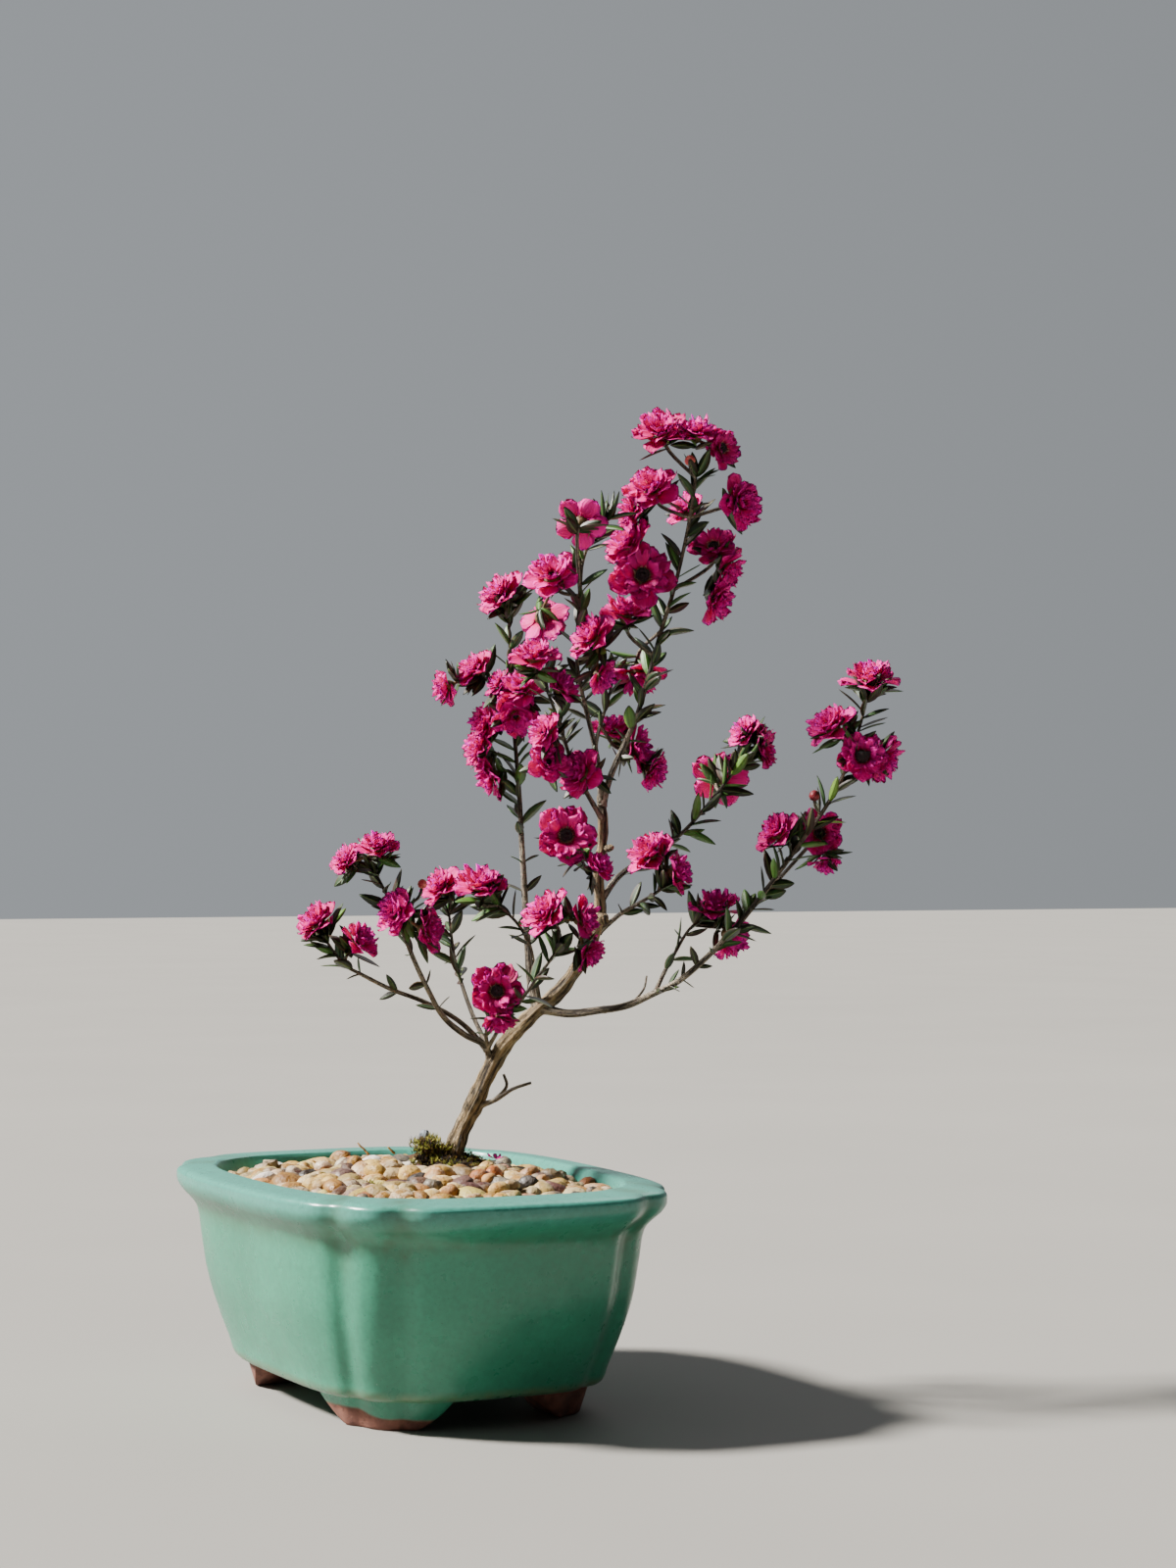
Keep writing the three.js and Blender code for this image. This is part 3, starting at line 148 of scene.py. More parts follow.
# Blooms: the shoot that carries them, then each flower's column, row, width in pixels, place behind the plane,
# the way it faces, and its age: 0 just opened, 1 full, 2 with a dark eye
BLOOMS = {
    "left_top": ("left_front", [(353, 877, 32, -22, "leftUp", 0), (385, 864, 40, -24, "up", 1)]),
    "left_mid": ("left_front", [(404, 931, 46, -25, "frontLeft", 1), (437, 948, 42, -25, "right", 1)]),
    "far_left": ("left_outer", [(323, 940, 46, 9, "leftUp", 1)]),
    "left_low": ("left_outer", [(367, 960, 40, 5, "rightUp", 1)]),
    "left_inner": ("left_back", [(450, 905, 42, 29, "leftUp", 1)]),
    "left_crown": ("second_left", [(490, 902, 55, 3, "up", 1)]),
    "low_front": ("low_front", [(507, 1011, 58, 0, "front", 2), (510, 1041, 32, 0, "down", 1)]),
    "centre_front": ("centre_front", [
        (555, 931, 60, -12, "leftUp", 1), (596, 938, 42, -11, "right", 1), (601, 972, 36, -9, "rightDown", 1),
    ]),
    "centre": ("centre", [(578, 852, 66, -2, "front", 2), (611, 884, 32, -3, "rightUp", 1)]),
    "tall_low": ("tall_left", [
        (500, 793, 42, 27, "leftDown", 1), (490, 764, 44, 27, "left", 1), (496, 739, 44, 26, "left", 1),
    ]),
    "tall_high": ("tall_left", [
        (526, 730, 44, 18, "frontDown", 1), (532, 702, 52, 17, "frontUp", 1), (509, 697, 28, 21, "leftUp", 0),
    ]),
    "tall_out": ("tall_left", [(484, 682, 38, 27, "leftUp", 1), (455, 701, 36, 27, "leftDown", 0)]),
    "tall_top": ("tall_left", [(510, 605, 52, 24, "leftUp", 1)]),
    "inner_top": ("inner", [(546, 668, 56, -19, "up", 1), (573, 700, 36, -15, "rightUp", 1)]),
    "inner_low": ("inner", [(556, 748, 38, -12, "frontLeft", 1), (560, 778, 38, -9, "front", 1)]),
    "heart": ("inner", [(592, 789, 54, -8, "frontLeft", 1)]),
    "back_low": ("back_fork", [
        (651, 763, 46, 22, "right", 1), (624, 744, 40, 26, "up", 1), (667, 787, 36, 22, "rightDown", 0),
    ]),
    "fork_mid": ("left_fork", [(603, 649, 58, -8, "leftUp", 1), (614, 690, 34, -5, "rightDown", 1)]),
    "fork_low": ("left_fork", [(563, 586, 60, -4, "frontUp", 1), (556, 634, 56, 5, "backDown", 1)]),
    "fork_top": ("left_fork", [(593, 533, 50, -10, "back", 1)]),
    "leader_low": ("leader", [(651, 692, 60, 22, "down", 1)]),
    "leader_left": ("leader", [(638, 624, 48, 4, "up", 1)]),
    "leader_front": ("leader", [(640, 553, 58, 2, "leftUp", 1), (656, 586, 70, -1, "front", 2)]),
    "leader_upper": ("leader", [
        (665, 497, 60, 3, "frontUp", 1), (645, 522, 38, 5, "left", 1), (700, 520, 36, 18, "leftUp", 1),
    ]),
    "crown": ("leader", [
        (674, 439, 58, 3, "frontUp", 1), (710, 441, 44, 4, "up", 1), (737, 457, 38, 5, "frontRight", 2),
    ]),
    "leader_right": ("leader", [(756, 513, 54, 6, "frontRight", 1)]),
    "right_trio": ("leader", [
        (728, 557, 46, 7, "frontUp", 2), (743, 581, 42, 7, "rightDown", 1), (732, 614, 44, 8, "rightDown", 1),
    ]),
    "long_tip": ("right_long", [(888, 690, 62, -9, "up", 1)]),
    "long_left": ("right_long", [(847, 740, 54, -10, "leftUp", 1)]),
    "long_right": ("right_long", [(903, 775, 48, -8, "rightDown", 1), (880, 772, 50, -14, "front", 2)]),
    "long_mid": ("right_long", [(793, 849, 48, -11, "leftUp", 1)]),
    "long_dark": ("right_long", [(836, 850, 44, -4, "front", 2), (842, 880, 28, -4, "down", 0)]),
    "low_right": ("right_low", [(732, 924, 54, 11, "up", 1), (748, 956, 50, 9, "rightDown", 1)]),
    "mid_out": ("mid_right", [(780, 761, 42, 36, "right", 2), (760, 748, 34, 36, "leftUp", 1)]),
    "mid_back": ("mid_right", [(734, 794, 56, 41, "back", 1)]),
    "mid_low": ("mid_low_right", [(662, 870, 54, 5, "leftUp", 1), (691, 890, 40, 2, "right", 1)]),
}

# Buds and a spent capsule: the shoot that carries them, then each one's column, row, place behind the plane, radius
# and kind
BUDS = {
    "left_front": [(431, 902, -20, 1.3, "pink_bud")],
    "right_long": [(831, 812, -13, 1.5, "red_bud"), (880, 771, -14, 2.1, "capsule")],
    "leader": [(704, 470, 1, 1.5, "pink_bud")],
}


# Small tools

DRAW_FACTOR = 1103515245.0
DRAW_STEP = 12345.0
DRAW_RANGE = 2147483648.0
SEED_STEP = 7
STEEP = 0.9


def unit(v):
    """Vectors divided by their own lengths."""
    return v / np.linalg.norm(v, axis=-1, keepdims=True)


def mix(a, b, t):
    """The value a share t of the way from a to b."""
    return a + (b - a) * t


def seeded_draw(seed):
    """Numbers between 0 and 1, each from the last by one multiply, one add and a remainder."""
    state = [float(seed)]

    def draw():
        state[0] = (state[0] * DRAW_FACTOR + DRAW_STEP) % DRAW_RANGE
        return state[0] / DRAW_RANGE

    return draw


def turned_back(v):
    """A vector of the eye's frame (right, away, up) in the part's frame: a turn about the vertical."""
    c, s = np.cos(POT_TURN), np.sin(POT_TURN)
    x, y, z = np.moveaxis(np.asarray(v, float), -1, 0)
    return np.stack([x * c + y * s, y * c - x * s, z], -1)


def spot(pick):
    """The place of a pick: the ray through its pixel, taken as far away as the pick says."""
    column, row, behind = np.moveaxis(np.asarray(pick, float)[..., :3], -1, 0)
    ahead = behind + PLANE_DISTANCE
    rise = ahead * np.tan(EYE_TILT + np.arctan((PICTURE_MIDDLE[1] - row) / EYE_FOCAL))
    depth = ahead * np.cos(EYE_TILT) + rise * np.sin(EYE_TILT)
    side = (column - PICTURE_MIDDLE[0]) / EYE_FOCAL * depth
    return turned_back(np.stack([EYE[0] + side, EYE[1] + ahead, EYE[2] + rise], -1)) + POT_MIDDLE


def facing(name):
    """The unit direction that a flower's axis points in, in the part's frame."""
    right, towards, up = FACE[name]
    return unit(turned_back((right, -towards, up)))


def cross_axes(direction):
    """Two unit directions square to each given one: its cross product with the vertical, or with X where it is
    steep, and its cross product with that."""
    direction = np.asarray(direction, float)
    steep = np.abs(direction[..., 2:]) >= STEEP
    helper = np.where(steep, np.array([1.0, 0, 0]), UP)
    first = unit(np.cross(helper, direction))
    return first, np.cross(direction, first)


def curve_places(picks, shares):
    """Places at shares 0 to 1 along the smooth curve through places: a centripetal Catmull-Rom spline, a cubic
    between each two neighbours whose end slopes weigh the neighbours by the square root of their distance."""
    shares = np.asarray(shares, float)
    count = len(picks)
    before = 2 * picks[0] - picks[1]
    after = 2 * picks[-1] - picks[-2]
    wide = np.vstack([before, picks, after])
    at = np.clip(shares, 0, 1) * (count - 1)
    left = np.minimum(at.astype(int), count - 2)
    t = (at - left)[:, None]
    p0, p1, p2, p3 = (wide[left + k] for k in range(4))
    d0, d1, d2 = (np.linalg.norm(b - a, axis=1, keepdims=True) ** 0.5 for a, b in ((p0, p1), (p1, p2), (p2, p3)))
    slope1 = ((p1 - p0) / d0 - (p2 - p0) / (d0 + d1) + (p2 - p1) / d1) * d1
    slope2 = ((p2 - p1) / d1 - (p3 - p1) / (d1 + d2) + (p3 - p2) / d2) * d1
    return (p1 + slope1 * t + (3 * (p2 - p1) - 2 * slope1 - slope2) * t ** 2
            + (2 * (p1 - p2) + slope1 + slope2) * t ** 3)


# Surfaces: each is a dictionary of points, faces, and for each point a uv, a tone and a grain place

def surface(points, faces, material=0, uv=None, tone=None, grain=None):
    """One surface. Left out, its uv is 0, its tone is a half and its grain places are its points."""
    points = np.asarray(points, float).reshape(-1, 3)
    count = len(points)
    return {
        "points": points,
        "faces": [tuple(face) for face in faces],
        "material": material,
        "uv": np.zeros((count, 2)) if uv is None else np.asarray(uv, float).reshape(-1, 2),
        "tone": np.full(count, 0.5) if tone is None else np.broadcast_to(tone, (count,)).astype(float),
        "grain": points if grain is None else np.asarray(grain, float).reshape(-1, 3),
    }


def make_piece(name, surfaces, materials, nodes):
    """Joins surfaces into one mesh object that stands for CAD nodes and rides on the only body."""
    points, uv, tone, grain = (np.concatenate([s[key] for s in surfaces]) for key in ("points", "uv", "tone", "grain"))
    faces = []
    slots = []
    start = 0
    for s in surfaces:
        faces += [tuple(i + start for i in face) for face in s["faces"]]
        slots += [s["material"]] * len(s["faces"])
        start += len(s["points"])
    mesh = bpy.data.meshes.new(name)
    mesh.from_pydata((points * MM).tolist(), [], faces)
    corners = np.empty(len(mesh.loops), np.int32)
    mesh.loops.foreach_get("vertex_index", corners)
    mesh.uv_layers.new(name="UVMap").data.foreach_set("uv", uv[corners].ravel())
    mesh.attributes.new("tone", "FLOAT", "POINT").data.foreach_set("value", tone)
    mesh.attributes.new("grain", "FLOAT_VECTOR", "POINT").data.foreach_set("vector", (grain * MM).ravel())
    mesh.polygons.foreach_set("material_index", np.array(slots, np.int32))
    mesh.polygons.foreach_set("use_smooth", np.ones(len(faces), bool))
    for material in materials:
        mesh.materials.append(material)
    piece = bpy.data.objects.new(name, mesh)
    bpy.context.scene.collection.objects.link(piece)
    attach(piece, "root")
    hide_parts(*nodes)


def grid_faces(rows, columns, wrap=False):
    """Quads of a grid of points counted row by row, joined round if it wraps."""
    index = np.arange(rows * columns).reshape(rows, columns)
    if wrap:
        index = np.hstack([index, index[:, :1]])
    quads = np.stack([index[:-1, :-1], index[:-1, 1:], index[1:, 1:], index[1:, :-1]], -1)
    return quads.reshape(-1, 4).tolist()


def capped_faces(rows, columns):
    """The faces of rings joined into a closed tube, with one flat face at each end."""
    last = (rows - 1) * columns
    faces = [tuple(face) for face in grid_faces(rows, columns, wrap=True)]
    return faces + [tuple(range(columns))[::-1], tuple(range(last, last + columns))]


def joined(parts):
    """Surfaces joined into one whose places that coincide are a single point."""
    points, uv, tone = (np.concatenate([part[key] for part in parts]) for key in ("points", "uv", "tone"))
    starts = np.cumsum([0] + [len(part["points"]) for part in parts])
    _, first, back = np.unique(np.round(points, 4), axis=0, return_index=True, return_inverse=True)
    back = back.ravel()
    faces = [tuple(back[i + start] for i in face) for part, start in zip(parts, starts) for face in part["faces"]]
    return surface(points[first], faces, uv=uv[first], tone=tone[first])


def sheet_faces(rows, columns):
    """Quads of a thin closed sheet: an upper grid, and a lower one that shares the upper one's border."""
    upper = np.arange(rows * columns).reshape(rows, columns)
    lower = upper.copy()
    lower[1:-1, 1:-1] = rows * columns + np.arange((rows - 2) * (columns - 2)).reshape(rows - 2, columns - 2)
    quads = [np.stack([g[:-1, :-1], g[:-1, 1:], g[1:, 1:], g[1:, :-1]], -1).reshape(-1, 4) for g in (upper, lower)]
    return np.vstack([quads[0], quads[1][:, ::-1]])


def sheets(local, axes, roots, lengths, thickness, material, tones, draw_uv):
    """Many thin closed sheets. local is (count, rows, columns, 3) in shares of each length along its own
    across, along and top axes; the lower side lies a thickness below the upper one."""
    count, rows, columns, _ = local.shape
    across, along, top = (axis[:, None, None, :] for axis in axes)
    size = np.asarray(lengths, float).reshape(-1, 1, 1, 1)
    place = roots[:, None, None, :] + size * (
        across * local[..., 0:1] + along * local[..., 1:2] + top * local[..., 2:3]
    )
    under = (place - top * thickness)[:, 1:-1, 1:-1].reshape(count, -1, 3)
    points = np.concatenate([place.reshape(count, -1, 3), under], 1)
    faces = sheet_faces(rows, columns)
    each = points.shape[1]
    all_faces = (faces[None] + (np.arange(count) * each)[:, None, None]).reshape(-1, 4)
    flat = draw_uv.reshape(rows * columns, 2)
    inner = draw_uv[1:-1, 1:-1].reshape(-1, 2)
    uv = np.tile(np.vstack([flat, inner]), (count, 1))
    return surface(points, all_faces.tolist(), material, uv, np.repeat(np.asarray(tones, float), each))


def tube(places, radii, sides, material=0, tone=0.5, ridges=0.0, seed=0):
    """A limb: rings of corners square to a path, each radius times one plus bark ridges that wander round it.
    The grain place holds the cosine and sine of the turn and the length along the path."""
    places = np.asarray(places, float)
    radii = np.asarray(radii, float)
    along = unit(np.gradient(places, axis=0))
    helper = turned_back((0.35, 1, 0.1))
    first = unit(np.cross(np.broadcast_to(helper, along.shape), along))
    second = np.cross(along, first)
    turn = np.arange(sides) / sides * TURN
    reach = np.concatenate([[0], np.cumsum(np.linalg.norm(np.diff(places, axis=0), axis=1))])
    wander = 0.6 * np.sin(reach * 0.21 + seed) + 0.05 * reach
    ridge = (np.sin(5 * turn[None] + wander[:, None] + seed) * 0.5
             + np.sin(9 * turn[None] - 1.7 * wander[:, None] + 2 * seed) * 0.3
             + np.sin(3 * turn[None] + 0.35 * reach[:, None]) * 0.5)
    radius = radii[:, None] * (1 + ridges * ridge)
    ring = (first[:, None] * np.cos(turn)[None, :, None] + second[:, None] * np.sin(turn)[None, :, None])
    points = places[:, None] + ring * radius[..., None]
    size = np.broadcast_to(radii[:, None], radius.shape)
    grain = np.stack([np.cos(turn)[None] * size, np.sin(turn)[None] * size,
                      np.broadcast_to(reach[:, None], radius.shape)], -1)
    uv = np.stack(np.broadcast_arrays(turn[None] / TURN, reach[:, None] / 10), -1)
    return surface(points, capped_faces(len(places), sides), material, uv, tone, grain)


def spikes(roots, tips, width, material, tones):
    """Thin three-sided spikes from roots to tips, each a closed solid of four faces."""
    first, second = cross_axes(unit(tips - roots))
    turn = (np.arange(3) / 3 * TURN)[None, :, None]
    base = roots[:, None] + width * (first[:, None] * np.cos(turn) + second[:, None] * np.sin(turn))
    points = np.concatenate([base, tips[:, None]], 1)
    one = np.array([(2, 1, 0), (0, 1, 3), (1, 2, 3), (2, 0, 3)])
    faces = (one + 4 * np.arange(len(roots))[:, None, None]).reshape(-1, 3)
    return surface(points, faces.tolist(), material, tone=np.repeat(np.broadcast_to(tones, len(roots)), 4))


# Pot

def groove_cut(angle):
    """How deep the grooves are at an angle, as a share: a bell round each groove's angle, alike in all four
    quarters."""
    folded = np.abs((angle + 90) % 180 - 90)
    return sum(np.exp(-(((folded - at) / GROOVE_SPREAD) ** 2)) for at in GROOVE_ANGLES)


def plan_radius(angle, share, height, groove=1.0):
    """Distance from the pot's axis to its outline: a superellipse that turns squarer towards the foot, less a
    bell-shaped groove either side of each corner."""
    down = (POT_HEIGHT - height) / (POT_HEIGHT - FOOT_HEIGHT)
    sharpness = mix(RIM_SHARPNESS, FOOT_SHARPNESS, down ** 2)
    turn = np.radians(angle)
    across = np.abs(np.cos(turn) / RIM_HALF_WIDTH) ** sharpness
    along = np.abs(np.sin(turn) / RIM_HALF_LENGTH) ** sharpness
    return share * (across + along) ** (-1 / sharpness) * (1 - GROOVE_DEPTH * groove * groove_cut(angle))


# Height, share of the rim, share of the groove's depth: up the wall, over the lip and down to the floor
POT_PROFILE = [
    (FOOT_HEIGHT, 0.69, 0.6), (7.95, 0.712, 1), (8.7, 0.731, 1), (10, 0.745, 1), (12.7, 0.759, 1), (20, 0.805, 1),
    (30, 0.858, 1), (40, 0.888, 1), (47, 0.905, 1), (49.4, 0.918, 1), (51.4, 0.944, 1), (53.4, 0.976, 1),
    (55.4, 0.996, 1), (57.2, 1, 1), (58.4, 0.997, 1), (59.1, 0.984, 1), (59.5, 0.958, 0.9), (59.8, 0.9, 0.7),
    (59.95, 0.848, 0.5), (59.7, 0.832, 0.4), (59, 0.822, 0.3), (57, 0.81, 0.1), (54, 0.8, 0), (36, 0.765, 0),
    (18, 0.69, 0), (14.6, 0.655, 0), (FLOOR_TOP, 0.62, 0),
]
POT_COLUMNS = 480
PROFILE_ROWS = 150
FLOOR_ROWS = 7
SEAM_COLUMNS = 24
LIP_FOOT = 50
LIP_HEIGHT = 10
COVE_HEIGHT = 49
COVE_SPREAD = 2.4
COVE_THINNING = 0.75
BARE_BELOW = {"bowl": 0.6, "near_foot": 0.17, "foot": 1.2}


def drained_disc(outline, height, side, facing_up):
    """Half of a flat floor or underside: a grid between the half's border and the circle of its drain hole, where
    each place on the circle lies straight towards the border's own place."""
    half = POT_COLUMNS // 2
    first = 0 if side > 0 else half
    arc = outline[(first + np.arange(half + 1)) % POT_COLUMNS]
    seam = mix(arc[-1][None], arc[0][None], np.linspace(0, 1, SEAM_COLUMNS + 2)[1:-1, None])
    border = np.vstack([arc, seam])
    middle = np.array([0, side * DRAIN_OFFSET])
    circle = middle + DRAIN_RADIUS * unit(border - middle)
    rows = np.linspace(0, 1, FLOOR_ROWS)[:, None, None]
    plan = mix(circle[None], border[None], rows[::-1] if facing_up else rows)
    points = np.concatenate([plan, np.full(plan.shape[:2] + (1,), float(height))], -1)
    return surface(points, grid_faces(FLOOR_ROWS, len(border), wrap=True)), circle


def pot_body():
    """The bowl as one closed skin: the profile above, smoothed and carried round the outline, a flat floor and a
    flat underside in two halves each, and the walls of the two drain holes. The lip sways up and down in two slow
    waves. The tone is higher where the glaze runs thin: in the grooves and in a bell round the cove's height."""
    levels = curve_places(np.array(POT_PROFILE, float), np.linspace(0, 1, PROFILE_ROWS))
    angle = np.arange(POT_COLUMNS) / POT_COLUMNS * 360
    height, share, groove = (levels[:, k:k + 1] for k in range(3))
    radius = plan_radius(angle[None], share, height, groove)
    turn = np.radians(angle)[None]
    sway = 0.12 * np.sin(3 * turn + 1) + 0.1 * np.sin(2 * turn)
    lip = np.clip((height - LIP_FOOT) / LIP_HEIGHT, 0, 1)
    points = np.stack([radius * np.cos(turn), radius * np.sin(turn), height + sway * lip], -1)
    outside = (np.arange(len(levels)) <= np.argmax(levels[:, 0]))[:, None]
    cove = COVE_THINNING * np.exp(-((height - COVE_HEIGHT) / COVE_SPREAD) ** 2)
    near_top = mix(0.1, 1, np.clip((height - 38) / 10, 0, 1))
    thin = np.clip((groove_cut(angle)[None] * near_top + cove) * outside, 0, 1)
    parts = [surface(points, grid_faces(len(levels), POT_COLUMNS, wrap=True), tone=thin.ravel())]
    for side in (1, -1):
        under, low_circle = drained_disc(points[0, :, :2], FOOT_HEIGHT, side, False)
        floor, high_circle = drained_disc(points[-1, :, :2], FLOOR_TOP, side, True)
        hole = np.stack([np.column_stack([circle, np.full(len(circle), float(level))])
                         for circle, level in ((high_circle, FLOOR_TOP), (low_circle, FOOT_HEIGHT))])
        parts += [under, floor, surface(hole, grid_faces(2, len(low_circle), wrap=True))]
    body = joined(parts)
    body["points"] = body["points"] + POT_MIDDLE
    body["uv"][:, 1] = BARE_BELOW["bowl"]
    return body


FOOT_GAPS = {"x": (20, 12), "y": (33, 23)}
FOOT_SHARES = {"outer": (0.645, 0.69), "inner": (0.48, 0.5)}
FOOT_TOP = 9
FOOT_SIDE_BOW = 0.7
FOOT_EDGE_HEIGHT = 0.7
FOOT_EDGE_DEPTH = 0.45
FOOT_COLUMNS = 40


def foot(signs):
    """A bracket foot under one corner: between two sloping side planes, an outer arc of the pot's outline and an
    inner arc, lofted from the ground up into the bowl. Its sides bow by half a sine wave, and its lower edge is
    rounded by a square."""
    rows = []
    angles = np.linspace(0, 90, 1441)
    for height in np.concatenate([[0, 0.12, 0.35, FOOT_EDGE_HEIGHT], np.linspace(1.4, FOOT_TOP, 9)]):
        rise = np.clip(height / FOOT_HEIGHT, 0, 1)
        bow = FOOT_SIDE_BOW * np.sin(np.pi * rise)
        shrink = FOOT_EDGE_DEPTH * (1 - np.clip(height / FOOT_EDGE_HEIGHT, 0, 1)) ** 2
        gap_x, gap_y = (mix(*FOOT_GAPS[axis], rise) - bow + shrink for axis in ("x", "y"))
        arcs = []
        for share in (mix(*FOOT_SHARES["outer"], height / FOOT_TOP) - shrink / 70, mix(*FOOT_SHARES["inner"], rise)):
            radius = plan_radius(angles, share, height, 0.8)
            x, y = radius * np.cos(np.radians(angles)), radius * np.sin(np.radians(angles))
            inside = (x > gap_x) & (y > gap_y)
            x, y = (x[inside], y[inside]) if inside.sum() > 1 else (np.full(2, gap_x), np.full(2, gap_y))
            steps = np.linspace(0, len(x) - 1, FOOT_COLUMNS)
            arcs.append(np.stack([np.interp(steps, range(len(x)), x), np.interp(steps, range(len(x)), y)], -1))
        outline = np.vstack([arcs[0], arcs[1][::-1]]) * signs
        rows.append(np.column_stack([outline, np.full(len(outline), height)]))
    points = np.array(rows)
    faces = capped_faces(len(rows), 2 * FOOT_COLUMNS)
    if signs[0] * signs[1] < 0:
        faces = [face[::-1] for face in faces]
    body = surface(points + POT_MIDDLE, faces, tone=0.0)
    if signs == (-1, -1):
        x, y = points[..., 0].ravel(), points[..., 1].ravel()
        left_end, right_end = np.clip((y + 50) / 12, 0, 1), np.clip((x + 28) / 8, 0, 1)
        body["uv"][:, 1] = BARE_BELOW["near_foot"] + 0.35 * left_end + 0.12 * right_end
    else:
        body["uv"][:, 1] = BARE_BELOW["foot"]
    return body


# Gravel

CAVITY_HEIGHTS = [14, 18, 36, 54, 59]
CAVITY_SHARES = [0.64, 0.69, 0.775, 0.816, 0.827]
GRAVEL_EDGE = 55.2
GRAVEL_CROWN = 4.6
HEAP_RISE = 2.6
BED_DEPTH = 2.6
BED_FOOT = 50.0
STONE_RADII = [2.5, 3.1, 3.7, 4.3, 5.0]
STONE_SHARES = [0.24, 0.28, 0.24, 0.16, 0.08]
STONE_TOP_SHARE = 0.85
STONE_NESTING = 0.84
SPREAD_ROUNDS = 120
PUSH_SHARE = 0.4
GRAVEL_SEED = 11
STONE, GRIT_BED, LITTER_TWIG = range(3)
TRUNK_FOOT = spot((463, 1180, 22.4))
MOSS_RADIUS = 12.5


def cavity_share(height):
    """The inner wall's share of the rim's outline at a height, read off straight lines between a few levels."""
    return np.interp(height, CAVITY_HEIGHTS, CAVITY_SHARES)


def on_level(column, row, height):
    """The place at a height that shows at a pixel of the picture."""
    slope = np.tan(EYE_TILT + np.arctan((PICTURE_MIDDLE[1] - row) / EYE_FOCAL))
    return spot((column, row, (height - EYE[2]) / slope - PLANE_DISTANCE))


def reach_in_pot(x, y, height):
    """How far out a place lies, as a share of the cavity's own outline at its height."""
    x, y = x - POT_MIDDLE[0], y - POT_MIDDLE[1]
    angle = np.degrees(np.arctan2(y, x)) % 360
    return np.hypot(x, y) / plan_radius(angle, cavity_share(height), height, 0)


def gravel_height(x, y):
    """The height of the heap: its edge plus a crown that falls by the square of the distance from the middle."""
    dx, dy = x - POT_MIDDLE[0], y - POT_MIDDLE[1]
    reach = np.hypot(dx / RIM_HALF_WIDTH, dy / RIM_HALF_LENGTH) / cavity_share(GRAVEL_EDGE)
    return GRAVEL_EDGE + GRAVEL_CROWN * np.clip(1 - reach ** 2, 0, None)


# Stones that stand out: column, row, height, radius, and their place in the run of stone colours
NOTED_STONES = [
    (528, 1202, 57.5, 3.7, 0.98), (487, 1206, 58, 4.3, 0.46), (610, 1201, 56.5, 4.6, 0.3), (621, 1209, 56.5, 2.9, 0.87),
    (424, 1211, 57.5, 3.4, 0.98), (463, 1208, 57.5, 2.9, 0.62), (447, 1194, 59, 4.2, 0.54), (465, 1195, 59, 3.1, 0.2),
    (509, 1210, 57, 3.6, 0.3), (389, 1203, 58.5, 2.6, 0.7), (409, 1199, 59, 2.6, 0.7), (403, 1211, 57.5, 4.2, 0.46),
    (396, 1191, 59.5, 4.0, 0.38), (347, 1178, 60, 3.2, 0.04), (572, 1199, 57, 3.2, 0.04), (567, 1191, 57.5, 2.8, 0.62),
    (582, 1203, 56.5, 2.4, 0.8), (512, 1188, 59.5, 3.0, 0.8), (313, 1196, 58, 3.6, 0.62), (352, 1207, 57, 4.0, 0.3),
]


def held_inside(place, radius):
    """Places drawn towards the pot's middle until stones of these radii clear the wall."""
    most = 1 - (radius * 0.9 + 0.4) / plan_radius(0, cavity_share(GRAVEL_EDGE), GRAVEL_EDGE, 0)
    reach = reach_in_pot(place[:, 0], place[:, 1], GRAVEL_EDGE)
    pull = np.minimum(1, most / np.maximum(reach, 1e-3))[:, None]
    return place * UP + POT_MIDDLE * [1, 1, 0] + (place - POT_MIDDLE) * [1, 1, 0] * pull


def spread_out(place, radius, fixed):
    """One layer of stones pushed apart sideways until their middles lie a share of their radii's sum apart, held
    inside the wall and outside the moss. The first ones, up to the number fixed, stay where they are."""
    kept = place[:fixed].copy()
    apart = (radius[:, None] + radius[None]) * STONE_NESTING
    for _ in range(SPREAD_ROUNDS):
        gap = (place[:, None] - place[None]) * [1, 1, 0]
        distance = np.linalg.norm(gap, axis=-1) + np.eye(len(place)) * 1e3
        push = np.clip(apart - distance, 0, None) / np.maximum(distance, 0.01)
        place = held_inside(place + PUSH_SHARE * (gap * push[..., None]).sum(1), radius)
        away = place[:, :2] - TRUNK_FOOT[:2]
        near = np.linalg.norm(away, axis=1)
        grow = np.maximum(1, (MOSS_RADIUS + 0.5 * radius - 1.5) / np.maximum(near, 1e-3))
        place[:, :2] = TRUNK_FOOT[:2] + away * grow[:, None]
        place[:fixed] = kept
    return place


